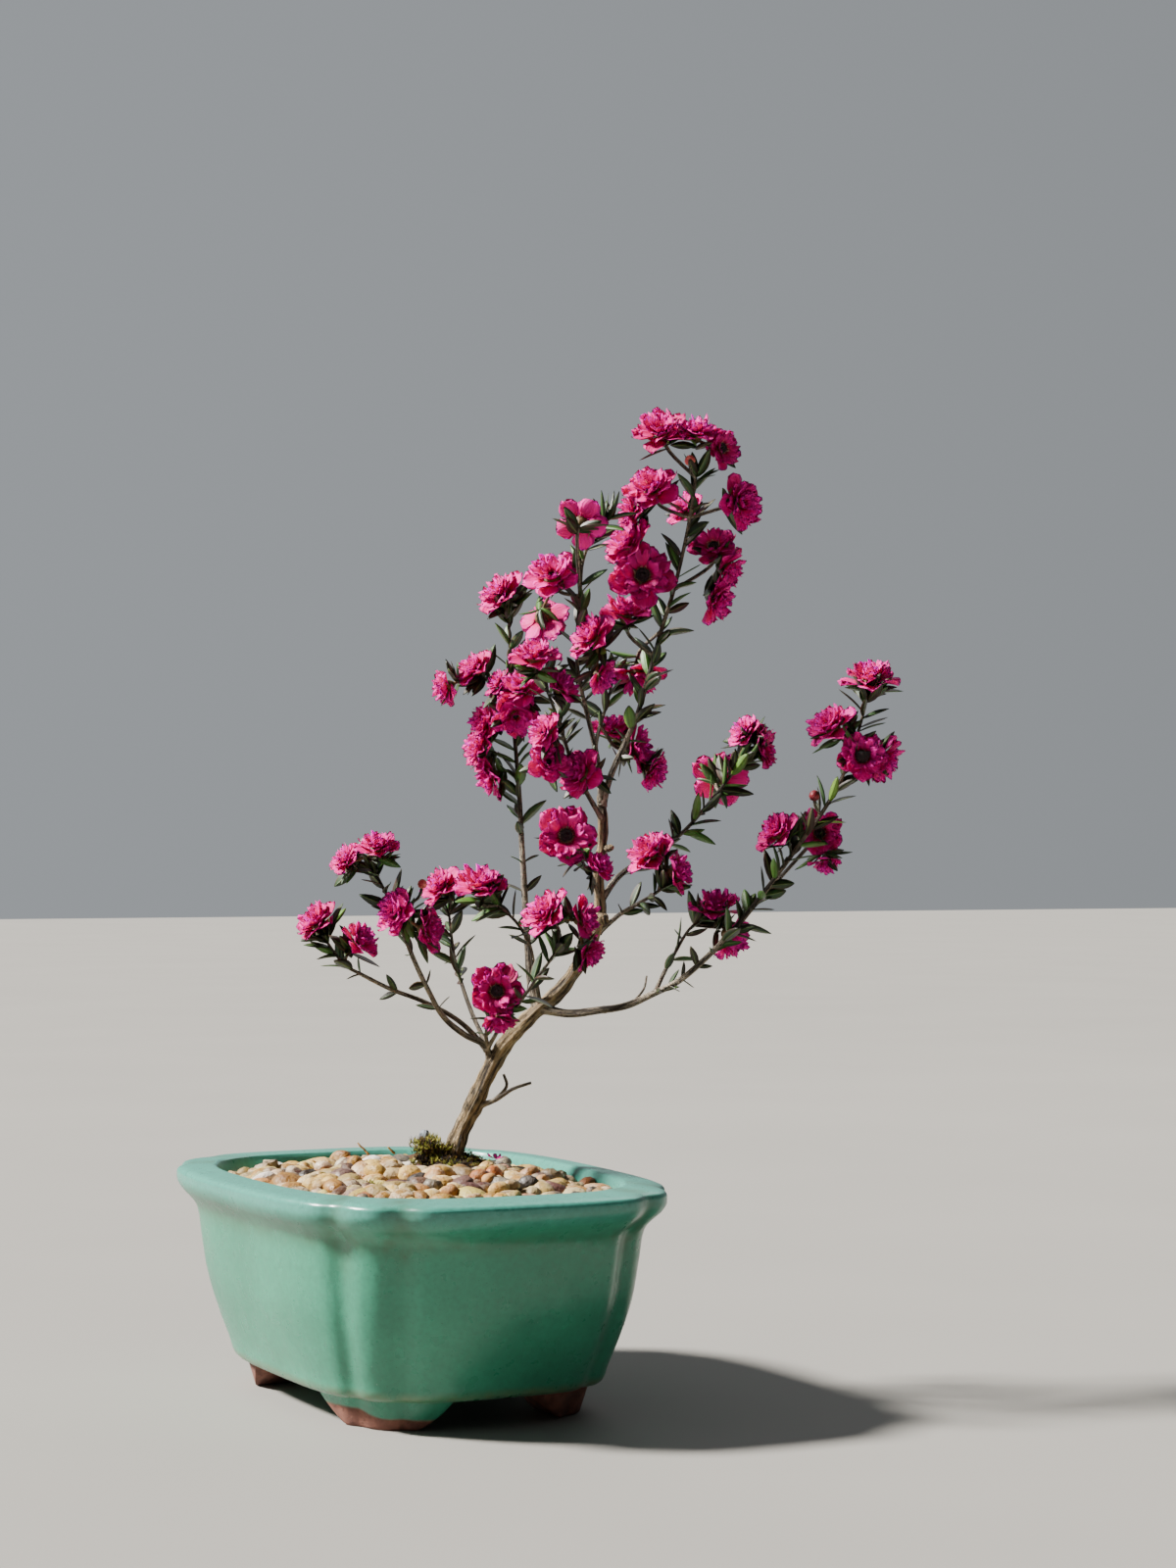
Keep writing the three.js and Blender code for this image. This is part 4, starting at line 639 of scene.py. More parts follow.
def pebble_layer(rng, count, depth, noted=()):
    """A layer of stones whose tops lie a rise above the heap's surface less the layer's depth, some a little higher
    or lower, with the noted stones among them: their places, radii and tones."""
    radius = rng.choice(STONE_RADII, count, p=STONE_SHARES)
    radius = radius * rng.uniform(0.9, 1.1, count)
    angle = rng.uniform(0, 360, count)
    out = np.sqrt(rng.uniform(0, 1, count)) * 0.95 * plan_radius(angle, cavity_share(GRAVEL_EDGE), GRAVEL_EDGE, 0)
    place = np.stack([out * np.cos(np.radians(angle)), out * np.sin(np.radians(angle)), 0 * out], -1) + POT_MIDDLE
    if noted:
        own = np.array([stone[3] for stone in noted])
        at = held_inside(np.array([on_level(*stone[:3]) for stone in noted]), own) - UP * 0.35 * own[:, None]
        place, radius = np.concatenate([at, place]), np.concatenate([own, radius])
    place = spread_out(place, radius, len(noted))
    loose = place[len(noted):]
    loose[:, 2] = gravel_height(loose[:, 0], loose[:, 1]) + HEAP_RISE - depth - STONE_TOP_SHARE * radius[len(noted):]
    loose[:, 2] += rng.uniform(-1.4, 0.8, count)
    tones = np.concatenate([[stone[4] for stone in noted], rng.uniform(0, 1, count)])
    return place, radius, tones


STONE_ROWS, STONE_COLUMNS = 7, 9


def pebbles(rng, places, radii, tones, material):
    """Stones: a ball cut by a few random planes whose edges are rounded off, more on a worn stone than on a broken
    one, swelled by slow waves and squashed along three random axes, so no two are alike."""
    count = len(places)
    lean = (np.pi * (1 - np.arange(1, STONE_ROWS) / STONE_ROWS))[:, None]
    turn = (np.arange(STONE_COLUMNS) / STONE_COLUMNS * TURN)[None]
    ball = np.stack([np.sin(lean) * np.cos(turn), np.sin(lean) * np.sin(turn), np.cos(lean) + 0 * turn], -1)
    ball = np.vstack([-UP, ball.reshape(-1, 3), UP])
    planes = unit(rng.normal(size=(count, 8, 3)))
    depth = rng.uniform(0.66, 1.02, (count, 8))
    slope = np.einsum("vk,npk->nvp", ball, planes)
    shaved = np.where(slope > 0.2, depth[:, None] / np.maximum(slope, 0.2), 9).min(-1)
    wear = rng.choice([5.0, 9.0, 24.0], (count, 1), p=[0.35, 0.35, 0.3])
    radius = 1.12 / (1 + np.minimum(shaved, 1.6) ** -wear) ** (1 / wear)
    waves = unit(rng.normal(size=(count, 3, 3))) * rng.uniform(1.5, 3, (count, 3, 1))
    phase = rng.uniform(0, TURN, (count, 1, 3))
    radius = radius * (1 + 0.05 * np.sin(np.einsum("vk,npk->nvp", ball, waves) + phase).sum(-1))
    shape = ball[None] * radius[..., None]
    stretch = np.stack([rng.uniform(1.0, 1.5, count), rng.uniform(0.8, 1.08, count), rng.uniform(0.6, 0.92, count)], -1)
    shape = shape * stretch[:, None]
    tilt = rng.normal(0, 0.3, (count, 2))
    spin = rng.uniform(0, TURN, count)
    across = unit(np.stack([np.cos(spin), np.sin(spin), tilt[:, 0]], -1))
    second = unit(np.cross(unit(np.stack([tilt[:, 1], -tilt[:, 0], np.ones(count)], -1)), across))
    basis = np.stack([across, second, np.cross(across, second)], 1)
    grown = radii[:, None, None] * shape
    points = places[:, None] + np.einsum("nvk,nkj->nvj", grown, basis)
    each = points.shape[1]
    around = np.arange(STONE_COLUMNS)
    last = each - 1 - STONE_COLUMNS
    one = [tuple(i + 1 for i in face) for face in grid_faces(STONE_ROWS - 1, STONE_COLUMNS, wrap=True)]
    one += [(0, 1 + (k + 1) % STONE_COLUMNS, 1 + k) for k in around]
    one += [(last + k, last + (k + 1) % STONE_COLUMNS, each - 1) for k in around]
    faces = [tuple(i + n * each for i in face) for n in range(count) for face in one]
    uv = np.repeat(rng.uniform(0, 1, (count, 2)), each, 0)
    grain = grown + rng.uniform(-40, 40, (count, 1, 3))
    return surface(points, faces, material, uv, np.repeat(tones, each), grain)


BED_ROWS, BED_COLUMNS = 30, 120


def gravel_bed():
    """Grit under the stones: a disc over the soil that reaches the wall and follows the heap at a depth, rough with
    a product of two sine waves, closed below by a flat one."""
    share = np.linspace(0.985, 0.02, BED_ROWS)[:, None]
    angle = (np.arange(BED_COLUMNS) / BED_COLUMNS * 360)[None]
    radius = share * plan_radius(angle, cavity_share(GRAVEL_EDGE), GRAVEL_EDGE, 0)
    x, y = radius * np.cos(np.radians(angle)), radius * np.sin(np.radians(angle))
    rough = 0.5 * np.sin(1.7 * x) * np.sin(1.9 * y + 1)
    high = gravel_height(x + POT_MIDDLE[0], y + POT_MIDDLE[1]) - BED_DEPTH + rough
    top = np.stack([x, y, high], -1)
    foot_ring = np.stack([x[0], y[0], np.full(BED_COLUMNS, BED_FOOT)], -1)[None]
    points = np.concatenate([foot_ring, top]) + POT_MIDDLE
    return surface(points, capped_faces(BED_ROWS + 1, BED_COLUMNS), GRIT_BED)


# Litter twigs: the pixels of both ends, and the height of the first
LITTER = [((334, 1191), (318, 1184), 58.5), ((380, 1182), (365, 1166), 59.8), ((402, 1177), (395, 1170), 60.8)]
LITTER_BEHIND = 20
LITTER_STEPS = 6


def litter_twig(rng, foot_at, tip_at, level):
    """A thin tapered twig on the stones: a straight run with a little noise, as long as its two pixels lie apart."""
    foot_place = on_level(*foot_at, level)
    rise = spot((*tip_at, LITTER_BEHIND)) - spot((*foot_at, LITTER_BEHIND))
    line = np.linspace(foot_place, foot_place + rise, LITTER_STEPS) + rng.normal(0, 0.12, (LITTER_STEPS, 3))
    return tube(line, np.linspace(0.42, 0.25, LITTER_STEPS), 6, LITTER_TWIG)


# Moss

MOUND_ROWS, MOUND_COLUMNS = 30, 110
MOUND_TOPS = (61.8, 64.0)
MOUND_EDGE = 58.4
MOUND_FOOT = 55.5
SCATTERED_TUFTS = 190
LEFT_TUFT_CENTRES = 64
SPRIG_WIDTH = 0.19


def moss_mound():
    """A low mound of crumbs: rings that shrink upwards, with lobes of three sine waves round them. The height falls
    by a power of the distance from a top that is higher at the left, where the moss is thick, and products of sine
    waves lay lumps over it."""
    down = np.linspace(1, 0.02, MOUND_ROWS)[:, None]
    turn = (np.arange(MOUND_COLUMNS) / MOUND_COLUMNS * TURN)[None]
    lobes = 1 + 0.06 * np.sin(3 * turn + 1) + 0.04 * np.sin(7 * turn) + 0.02 * np.sin(13 * turn + 2)
    radius = MOSS_RADIUS * 0.96 * lobes * down
    x, y = radius * np.cos(turn), radius * np.sin(turn)
    lumps = np.sin(1.3 * x + 0.6 * y) * np.sin(1.1 * y - 0.5 * x + 1) + 0.6 * np.sin(2.9 * x + 1) * np.sin(2.7 * y)
    left_x, left_y, _ = turned_back((-1.0, 0.2, 0))
    thick = mix(*MOUND_TOPS, np.clip(0.5 + (x * left_x + y * left_y) / 16, 0, 1))
    high = mix(thick, MOUND_EDGE, down ** 3.2) + 0.55 * lumps * (1 - down ** 4)
    ring = np.stack([TRUNK_FOOT[0] + x, TRUNK_FOOT[1] + y, high], -1)
    edge = ring[:1] * [1, 1, 0] + [0, 0, MOUND_FOOT]
    return surface(np.concatenate([edge, ring]), capped_faces(MOUND_ROWS + 1, MOUND_COLUMNS), 0, tone=0.1)


def tufts(rng, centres, count, spread, height):
    """Roots, tips and tones of the sprigs of moss tufts: each tuft fans out from its middle."""
    lean = rng.normal(0, 1, (len(centres), count, 3)) * [0.6, 0.6, 0.3] + UP
    roots = centres[:, None] + rng.normal(0, spread, (len(centres), count, 3)) * [1, 1, 0.35]
    tips = roots + unit(lean) * rng.uniform(0.5, 1, (len(centres), count, 1)) * height
    tones = np.clip(rng.beta(2, 2, (len(centres), 1)) + rng.normal(0, 0.16, (len(centres), count)), 0, 1)
    return roots.reshape(-1, 3), tips.reshape(-1, 3), tones.ravel()


# Chips

def splinter(place, size, tilt, turn):
    """A weathered chip: a slab whose section is a squared circle, from roots of the sine and cosine. Sine waves lay
    fibre ridges along its faces and break its ends to uneven depths."""
    rows, columns = 18, 14
    v = np.linspace(-0.5, 0.5, rows)[:, None]
    u = np.arange(columns)[None] / columns * TURN
    length, width, thick = size
    jag = 0.06 * np.sin(7 * u + 2) + 0.05 * np.sin(11 * u)
    taper = 1 - 0.55 * np.abs(2 * v) ** 6
    x = length * (v * (1 + jag * np.sign(v) * (np.abs(v) > 0.35)))
    ridge = 1 + 0.08 * np.sin(9 * u + 3 * v) + 0.05 * np.sin(5 * u - 9 * v)
    y = width / 2 * np.sign(np.cos(u)) * np.abs(np.cos(u)) ** 0.5 * taper * ridge
    z = thick / 2 * np.sign(np.sin(u)) * np.abs(np.sin(u)) ** 0.5 * taper * ridge
    x, y, z = np.broadcast_arrays(x, y, z)
    c, s = np.cos(tilt), np.sin(tilt)
    x, z = x * c + z * s, z * c - x * s
    c, s = np.cos(turn), np.sin(turn)
    points = np.stack([x * c - y * s, x * s + y * c, z], -1) + place
    return surface(points, capped_faces(rows, columns), 0, grain=np.stack([y, z, x], -1))


# Wood

SLIMMING = {"trunk": 0.7, "dead_twig": 1.0, "dead_curl": 0.9}
LIMB_SLIMMING = 0.6
DEAD_WOOD = ("dead_twig", "dead_curl", "stray_twig")
TRUNK_TONE, DEAD_TONE, LIMB_TONE = 0.9, 0.42, 0.35

# Healed knobs on the trunk: a pick, the radius and a seed
KNOBS = [((621, 866, 11), 1.3, 3), ((613, 937, 13), 2.1, 4), ((604, 962, 14), 2.0, 5)]


def branch_line(name):
    """A branch's places in the part's frame, how many of them are bare, and how many there are in all."""
    _, bare, leafy = BRANCHES[name]
    return spot(np.array(bare + leafy)), len(bare), len(bare) + len(leafy)


def bare_share(name):
    """The share of a branch's run at which its leafy part begins."""
    _, bare, total = branch_line(name)
    return (bare - 1) / (total - 1)


def branch_radius(name, share):
    """The radius at a share of a branch's run: from the first to the second by a power of the share, times the
    slimming that takes the plain CAD limb down to the real width."""
    foot_radius, tip_radius = BRANCHES[name][0]
    return SLIMMING.get(name, LIMB_SLIMMING) * mix(foot_radius, tip_radius, share ** 0.8)


def branch_tube(name, start, end, per_pick, sides, ridges, material, tone):
    """A stretch of a branch. It swells at its root, by an amount that dies away over a couple of radii, and by a
    tenth in a bell at each node. The trunk has a bell-shaped flare at the moss and slow swells in place of nodes."""
    places, _, total = branch_line(name)
    steps = max(8, int((end - start) * (total - 1) * per_pick))
    share = np.linspace(start, end, steps)
    path = curve_places(places, share)
    radius = branch_radius(name, share)
    reach = np.concatenate([[0], np.cumsum(np.linalg.norm(np.diff(path, axis=0), axis=1))])
    if start == 0 and name != "trunk":
        radius = radius * (1 + 0.45 * np.exp(-reach / (2.2 * radius[0])))
    knots = 1 + 0.1 * np.exp(-((reach + 2 * np.sin(reach)) % 6.3 / 0.6) ** 2)
    if name == "trunk":
        root_flare = 0.16 * np.exp(-((path[:, 2] - 61) / 3.2) ** 2)
        knots = 1 + root_flare + 0.05 * np.sin(reach * 0.5) + 0.04 * np.sin(reach * 1.3 + 1)
    return tube(path, radius * knots, sides, material, tone, ridges, seed=len(name))


def knob(place, radius, seed):
    """A healed knob on the trunk: a lumpy ball sunk half into the wood."""
    rng = np.random.default_rng(seed)
    return pebbles(rng, place[None], np.array([radius]), np.array([TRUNK_TONE]), 0)


# Flowers

OUTER_PETALS = 5
EYED_AGE = 2
AGE_TONES = (0.62, 0.5, 0.38)
BLOOM_DRAW_SEED, BLOOM_SEED = 101, 700

# Flowers this wide in pixels are made this many times as wide as their plain CAD solids
FULLER_WIDTHS = [35, 62]
FULLER_TIMES = [1.22, 0.98]

STALK_RADIUS = 0.5
BUD_STALK_RADIUS = 0.4
BUNCH_STALK_RADIUS = 0.42
STALK_TONE = 0.35

PETAL, CUP, EYE_DISC, STAMEN = range(4)


def flower_radius(data):
    """Half a flower's width: its pixels, times its distance from the eye, over the focal length."""
    return data[2] / 2 * (PLANE_DISTANCE + data[3]) / EYE_FOCAL


def cup_base(data):
    """The foot of a flower's cup, half a radius behind the flower's place along its axis."""
    return spot(data[:2] + data[3:4]) - 0.5 * flower_radius(data) * facing(data[4])


def petal_outline(share):
    """Half width of a petal at a share of its length: a narrow claw that tapers, or the half ellipse of a round
    blade, whichever is wider."""
    blade = np.sqrt(np.clip(1 - ((share - 0.6) / 0.44) ** 2, 0, 1))
    return np.maximum(np.maximum(blade, 0.22 * (1 - share)), 0.12)


PETAL_STEPS = np.array([0, 0.3, 0.6, 0.84, 1.0])
PETAL_COLUMNS = 7
PETAL_THICKNESS = 0.14


def petal_set(rng, base, axis, radius, turn, foot, tip_out, tip_up, half_width, ruffle, bend, tone):
    """Petals round a flower's axis, in shares of its radius. Each is a grid that runs out from its foot: it starts
    at one distance and height, ends at another, cups across its width, ruffles in waves that grow towards its
    edge, and rolls over at its tip."""
    count = len(turn)
    v = PETAL_STEPS[None, :, None]
    u = np.linspace(-1, 1, PETAL_COLUMNS)[None, None, :]
    tip_out, tip_up, half_width, bend = (
        np.broadcast_to(np.asarray(a, float), (count,))[:, None, None] for a in (tip_out, tip_up, half_width, bend)
    )
    wave = rng.uniform(0, TURN, (count, 1, 1))
    twist = rng.uniform(-0.3, 0.3, (count, 1, 1))
    width = half_width * petal_outline(v) * u
    edge = v ** 1.6 * ruffle * (np.sin(3.4 * u + wave) * 0.7 + np.sin(5.5 * u * v + 2 * wave) * 0.5)
    out = mix(foot[0], tip_out, v) - 0.1 * half_width * u ** 2 * v + edge * 0.5
    up = mix(foot[1], tip_up, v ** bend) + 0.3 * half_width * u ** 2 * v + edge + twist * width - 0.07 * v ** 7
    local = np.stack(np.broadcast_arrays(width, out, up), -1)
    first, second = cross_axes(axis)
    along = first * np.cos(turn)[:, None] + second * np.sin(turn)[:, None]
    top = np.broadcast_to(axis, along.shape)
    across = np.cross(along, top)
    uv = np.stack(np.broadcast_arrays((u[0] + 1) / 2, v[0]), -1)
    roots = np.broadcast_to(base, along.shape)
    tones = tone + rng.uniform(-0.14, 0.14, count)
    return sheets(local, (across, along, top), roots, np.full(count, radius), PETAL_THICKNESS, PETAL, tones, uv)


def revolved(base, axis, profile, sides, material, tone, lobes=0.0):
    """A round body turned about an axis: its profile is (radius, height) from the foot up, and its radius may be
    pulled into one lobe for each outer petal, by a cosine that grows with the square of the profile's run."""
    profile = np.asarray(profile, float)
    first, second = cross_axes(axis)
    turn = np.arange(sides) / sides * TURN
    pull = 1 + lobes * np.cos(OUTER_PETALS * turn)[None] * np.linspace(0, 1, len(profile))[:, None] ** 2
    ring = first * np.cos(turn)[:, None] + second * np.sin(turn)[:, None]
    points = base + profile[:, 1][:, None, None] * axis + (profile[:, 0][:, None] * pull)[..., None] * ring[None]
    return surface(points, capped_faces(len(profile), sides), material, tone=tone)


# The inner petals of a flower, ring by ring: how many, their foot, the ranges of their tips' distance and height and
# of their half width, and how much they ruffle, as shares of the flower's radius
FULL_RINGS = [
    (6, (0.2, 0.34), (0.7, 0.88), (0.56, 0.74), (0.3, 0.38), 0.1),
    (8, (0.18, 0.4), (0.46, 0.68), (0.74, 0.94), (0.26, 0.33), 0.14),
    (6, (0.1, 0.44), (0.18, 0.4), (0.82, 1.0), (0.21, 0.28), 0.14),
]
EYED_RINGS = [
    (6, (0.24, 0.34), (0.8, 0.96), (0.52, 0.66), (0.31, 0.38), 0.09),
    (10, (0.22, 0.4), (0.5, 0.78), (0.62, 0.84), (0.22, 0.29), 0.14),
]
CUP_PROFILE = [(0.1, -0.02), (0.17, 0.03), (0.24, 0.14), (0.28, 0.28), (0.31, 0.4), (0.24, 0.42), (0.1, 0.4)]
EYE_PROFILE = [(0.16, 0.36), (0.21, 0.45), (0.195, 0.51), (0.13, 0.47), (0.06, 0.48), (0.02, 0.56)]
HEART_PROFILE = [(0.12, 0.4), (0.14, 0.47), (0.1, 0.52), (0.03, 0.53)]
STAMENS_IN_EYE = 26
STAMENS_IN_HEART = 9
STAMEN_WIDTH = 0.1


def flower(rng, data, draw):
    """One double flower: cup, five broad outer petals, rings of ruffled inner ones, and a heart or a dark eye with
    stamens round it. The outer petals take their turn, reach and height from the draws that shape the flower's CAD
    solid."""
    fuller = np.interp(data[2], FULLER_WIDTHS, FULLER_TIMES)
    radius, axis, base, age = fuller * flower_radius(data), facing(data[4]), cup_base(data), data[5]
    start = draw() * TURN
    eyed = age == EYED_AGE
    outer = np.array([(0.9 + 0.14 * draw(), 0.42 + 0.16 * draw(), draw()) for _ in range(OUTER_PETALS)])
    crown = np.array([(draw(), draw()) for _ in range(OUTER_PETALS)])
    tone = AGE_TONES[age] + rng.uniform(-0.1, 0.1)
    turn = start + TURN * (np.arange(OUTER_PETALS) + 0.5) / OUTER_PETALS
    parts = [petal_set(
        rng, base, axis, radius, turn, foot=(0.2, 0.28), tip_out=1.06 * outer[:, 0], tip_up=outer[:, 1] - 0.04,
        half_width=0.44, ruffle=0.08, bend=0.85, tone=tone - 0.05,
    )]
    for ring, (count, foot_at, out, up, width, ruffle) in enumerate(EYED_RINGS if eyed else FULL_RINGS):
        spread = start + TURN * (np.arange(count) + rng.uniform(-0.3, 0.3, count)) / count
        crown_at = np.arange(OUTER_PETALS) * count / OUTER_PETALS
        lift = np.interp(np.arange(count), crown_at, 0.06 * crown[:, 1] - 0.03)
        parts.append(petal_set(
            rng, base, axis, radius, spread, foot_at, tip_out=rng.uniform(*out, count),
            tip_up=rng.uniform(*up, count) + lift, half_width=rng.uniform(*width, count), ruffle=ruffle,
            bend=rng.uniform(0.6, 1.1, count), tone=tone + 0.08 * ring,
        ))
    parts.append(revolved(base, axis, np.array(CUP_PROFILE) * radius, 15, CUP, 0.5, lobes=0.12))
    first, side = cross_axes(axis)
    count = STAMENS_IN_EYE if eyed else STAMENS_IN_HEART
    around = rng.uniform(0, TURN) + np.arange(count)[:, None] / count * TURN
    ring = first * np.cos(around) + side * np.sin(around)
    if eyed:
        parts.append(revolved(base, axis, np.array(EYE_PROFILE) * radius, 20, EYE_DISC, 0.5))
        low, high = base + radius * (0.44 * axis + 0.22 * ring), base + radius * (0.64 * axis + 0.27 * ring)
    else:
        parts.append(revolved(base, axis, np.array(HEART_PROFILE) * radius, 12, EYE_DISC, 0.8))
        low, high = base + radius * (0.46 * axis + 0.12 * ring), base + radius * (0.72 * axis + 0.16 * ring)
    high = high + radius * rng.normal(0, 0.04, high.shape)
    parts.append(spikes(low, high, STAMEN_WIDTH, STAMEN, 0.5))
    return parts


def cup_middle(data):
    """The middle of a flower's cup, a little in front of its foot."""
    return cup_base(data) + 0.15 * flower_radius(data) * facing(data[4])


BUD_PROFILE = [(0.3, -0.9), (0.75, -0.7), (1.0, -0.1), (0.85, 0.5), (0.5, 0.85), (0.12, 1.0)]
CAPSULE_PROFILE = [(0.3, -0.9), (0.75, -0.6), (1.0, 0.1), (1.05, 0.5), (0.85, 0.55), (0.6, 0.25), (0.2, 0.2)]


# Leaves

LEAF_LENGTH = 9.3
LEAF_SPACING = 4.6
LEAVES_UNDER_FLOWER = 3
LEAVES_IN_WHORL = 8
LEAVES_AT_TIP = 7
SPARSE_SPACING = 5.5
SPARSE_FROM = 0.62
LEAF_THICKNESS = 0.16
SEAT = 0.3
LEAF_DRAW_SEED, LEAF_SEED = 503, 900
LEAF, STEM = range(2)


def leaf_shape(rng, count):
    """Narrow leaves in shares of their length: their half width is a power of a sine that peaks a little before the
    middle, they fold up from the keel in proportion to it, and they arch back and turn sideways by the square of
    the length."""
    v = np.array([0, 0.1, 0.28, 0.48, 0.68, 0.86, 1.0])[None, :, None]
    u = np.array([-1.0, 0, 1.0])[None, None, :]
    blade = np.maximum(np.sin(np.pi * v ** 0.9) ** 0.72, 0.1)
    half = rng.uniform(0.135, 0.185, (count, 1, 1))
    arch = rng.uniform(-0.02, 0.14, (count, 1, 1))
    sweep = rng.uniform(-0.07, 0.07, (count, 1, 1))
    fold = rng.uniform(0.1, 0.35, (count, 1, 1))
    across = half * blade * u + sweep * v ** 2
    top = half * blade * fold * np.abs(u) - arch * v ** 2
    local = np.stack(np.broadcast_arrays(across, v, top), -1)
    uv = np.stack(np.broadcast_arrays((u[0] + 1) / 2, v[0]), -1)
    return local, uv


def leaf_pose(along, turn, spread, roll):
    """A leaf's direction at a turn round its stem and a spread away from it, and its top side, rolled about it."""
    first, second = cross_axes(along)
    out = first * np.cos(turn)[:, None] + second * np.sin(turn)[:, None]
    direction = along * np.cos(spread)[:, None] + out * np.sin(spread)[:, None]
    direction = unit(direction)
    top = unit(along - direction * (along * direction).sum(-1, keepdims=True))
    side = np.cross(direction, top)
    return direction, top * np.cos(roll)[:, None] + side * np.sin(roll)[:, None]


def stalk_places(stem, base, axis):
    """The stalk from a shoot to one flower. It leaves the stem where the distance, less when it runs along the stem
    and more when it starts ahead of the cup, is least, and ends square to the cup."""
    starts, ends = stem[:-1], stem[1:]
    share = np.array([0.1, 0.4, 0.7, 0.95])
    place = (starts[:, None] + (ends - starts)[:, None] * share[None, :, None]).reshape(-1, 3)
    along = np.repeat(unit(ends - starts), len(share), 0)
    rise = base - place
    length = np.linalg.norm(rise, axis=1)
    ahead = np.clip(1.5 - rise @ axis, 0, None)
    cost = length * (1.35 - 0.6 * (rise * along).sum(1) / length) + 3 * ahead
    root = place[np.argmin(cost)]
    end = base - axis * SEAT
    bend = end - axis * 0.4 * min(np.linalg.norm(root - end), 6)
    return np.array([root, mix(bend, root, 0.15), end])


def stalk_tube(places, radius, material):
    """A stalk carried along a smooth curve, a tenth wider at its upper end."""
    path = curve_places(places, np.linspace(0, 1, 9))
    return tube(path, np.linspace(radius, radius * 1.1, len(path)), 7, material, STALK_TONE)


def shoot(name, index, rng):
    """A shoot's stem, its leaves, and a stalk with a whorl of leaves for each flower it carries. The first leaves
    at each place come from the draws that turn the shoot's CAD leaves, and smaller ones grow between them."""
    places, _, total = branch_line(name)
    start = bare_share(name)
    draw = seeded_draw(LEAF_DRAW_SEED + SEED_STEP * index)
    steps = max(2, int(np.floor((1 - start) * (total - 1) + 0.5)))
    shares = np.linspace(start, 1, steps + 1)
    stem = curve_places(places, shares)
    wood = [branch_tube(name, start, 1, per_pick=9, sides=8, ridges=0.05, material=STEM, tone=0.2)]
    leaves = []
    turn = draw() * 6
    for i in range(steps):
        along = unit(stem[i + 1] - stem[i])
        count = max(1, int(np.floor(np.linalg.norm(stem[i + 1] - stem[i]) / LEAF_SPACING + 0.5)))
        for k in range(count):
            turn += GOLDEN_TURN
            step = (shares[1] - shares[0]) / count
            root, *between = curve_places(places, shares[i] + step * (k + np.array([0.5, 0.75, 0.97])))
            spread, size = 0.75 + 0.3 * draw(), 0.8 + 0.3 * draw()
            leaves.append((root, along, turn, spread, LEAF_LENGTH * size))
            for extra in between:
                leaves.append((extra, along, turn + rng.uniform(1, 5), rng.uniform(0.5, 1.1),
                               LEAF_LENGTH * rng.uniform(0.6, 1.05)))
    length = np.linalg.norm(np.diff(stem, axis=0), axis=1).sum() / (1 - start)
    for share in np.arange(start, SPARSE_FROM * start, -SPARSE_SPACING / length):
        root, ahead = curve_places(places, np.array([share, share + 0.01]))
        for opposite in (0, np.pi):
            leaves.append((root, unit(ahead - root), turn + opposite, rng.uniform(0.7, 1.2),
                           LEAF_LENGTH * rng.uniform(0.45, 0.8)))
        turn += GOLDEN_TURN
    tip = unit(stem[-1] - stem[-2])
    for _ in range(LEAVES_AT_TIP):
        leaves.append((stem[-1] - tip * rng.uniform(0, 2), tip, rng.uniform(0, TURN), rng.uniform(0.4, 1.2),
                       LEAF_LENGTH * rng.uniform(0.7, 1.05)))
    for flowers in (flowers for carrier, flowers in BLOOMS.values() if carrier == name):
        for k, data in enumerate(flowers):
            stalk = stalk_places(stem, cup_base(data), facing(data[4]))
            bend, end = stalk[1:]
            along = unit(end - bend)
            if k == 0:
                wood.append(stalk_tube(stalk, STALK_RADIUS, STEM))
                for i in range(LEAVES_UNDER_FLOWER):
                    turn += GOLDEN_TURN
                    spread, size = 1.2 + 0.2 * draw(), 0.75 + 0.3 * draw()
                    leaves.append((mix(end, bend, 0.25 + 0.2 * i), along, turn, spread, LEAF_LENGTH * size))
            for i in range(LEAVES_IN_WHORL):
                leaves.append((end - along * rng.uniform(0.1, 1.8), along, rng.uniform(0, TURN),
                               rng.uniform(0.9, 1.5), LEAF_LENGTH * rng.uniform(0.55, 1.0)))
    for column, row, behind, radius, _ in BUDS.get(name, []):
        place = spot((column, row, behind))
        wood.append(stalk_tube(stalk_places(stem, place - UP * 0.3 * radius, UP), BUD_STALK_RADIUS, STEM))
    roots, along, turns, spreads, lengths = (np.array(column) for column in zip(*leaves))
    direction, top = leaf_pose(along, turns, spreads, rng.normal(0, 0.75, len(leaves)))
    local, uv = leaf_shape(rng, len(leaves))
    tones = np.clip(rng.beta(1.6, 2.2, len(leaves)), 0, 1)
    axes = (np.cross(direction, top), direction, top)
    blades = sheets(local, axes, roots, lengths, LEAF_THICKNESS, LEAF, tones, uv)
    return wood + [blades]


# Shader building

def socket(tree, value, target):
    """Feeds a socket with another node's output or with a value."""
    if isinstance(value, bpy.types.NodeSocket):
        tree.links.new(value, target)
    elif value is not None:
        target.default_value = value


def add(tree, kind, inputs=None, **settings):
    """Adds a node, sets its properties and feeds its inputs with values or other nodes' outputs."""
    node = tree.nodes.new("ShaderNode" + kind)
    for key, value in settings.items():
        setattr(node, key, value)
    for key, value in (inputs or {}).items():
        socket(tree, value, node.inputs[key])
    return node


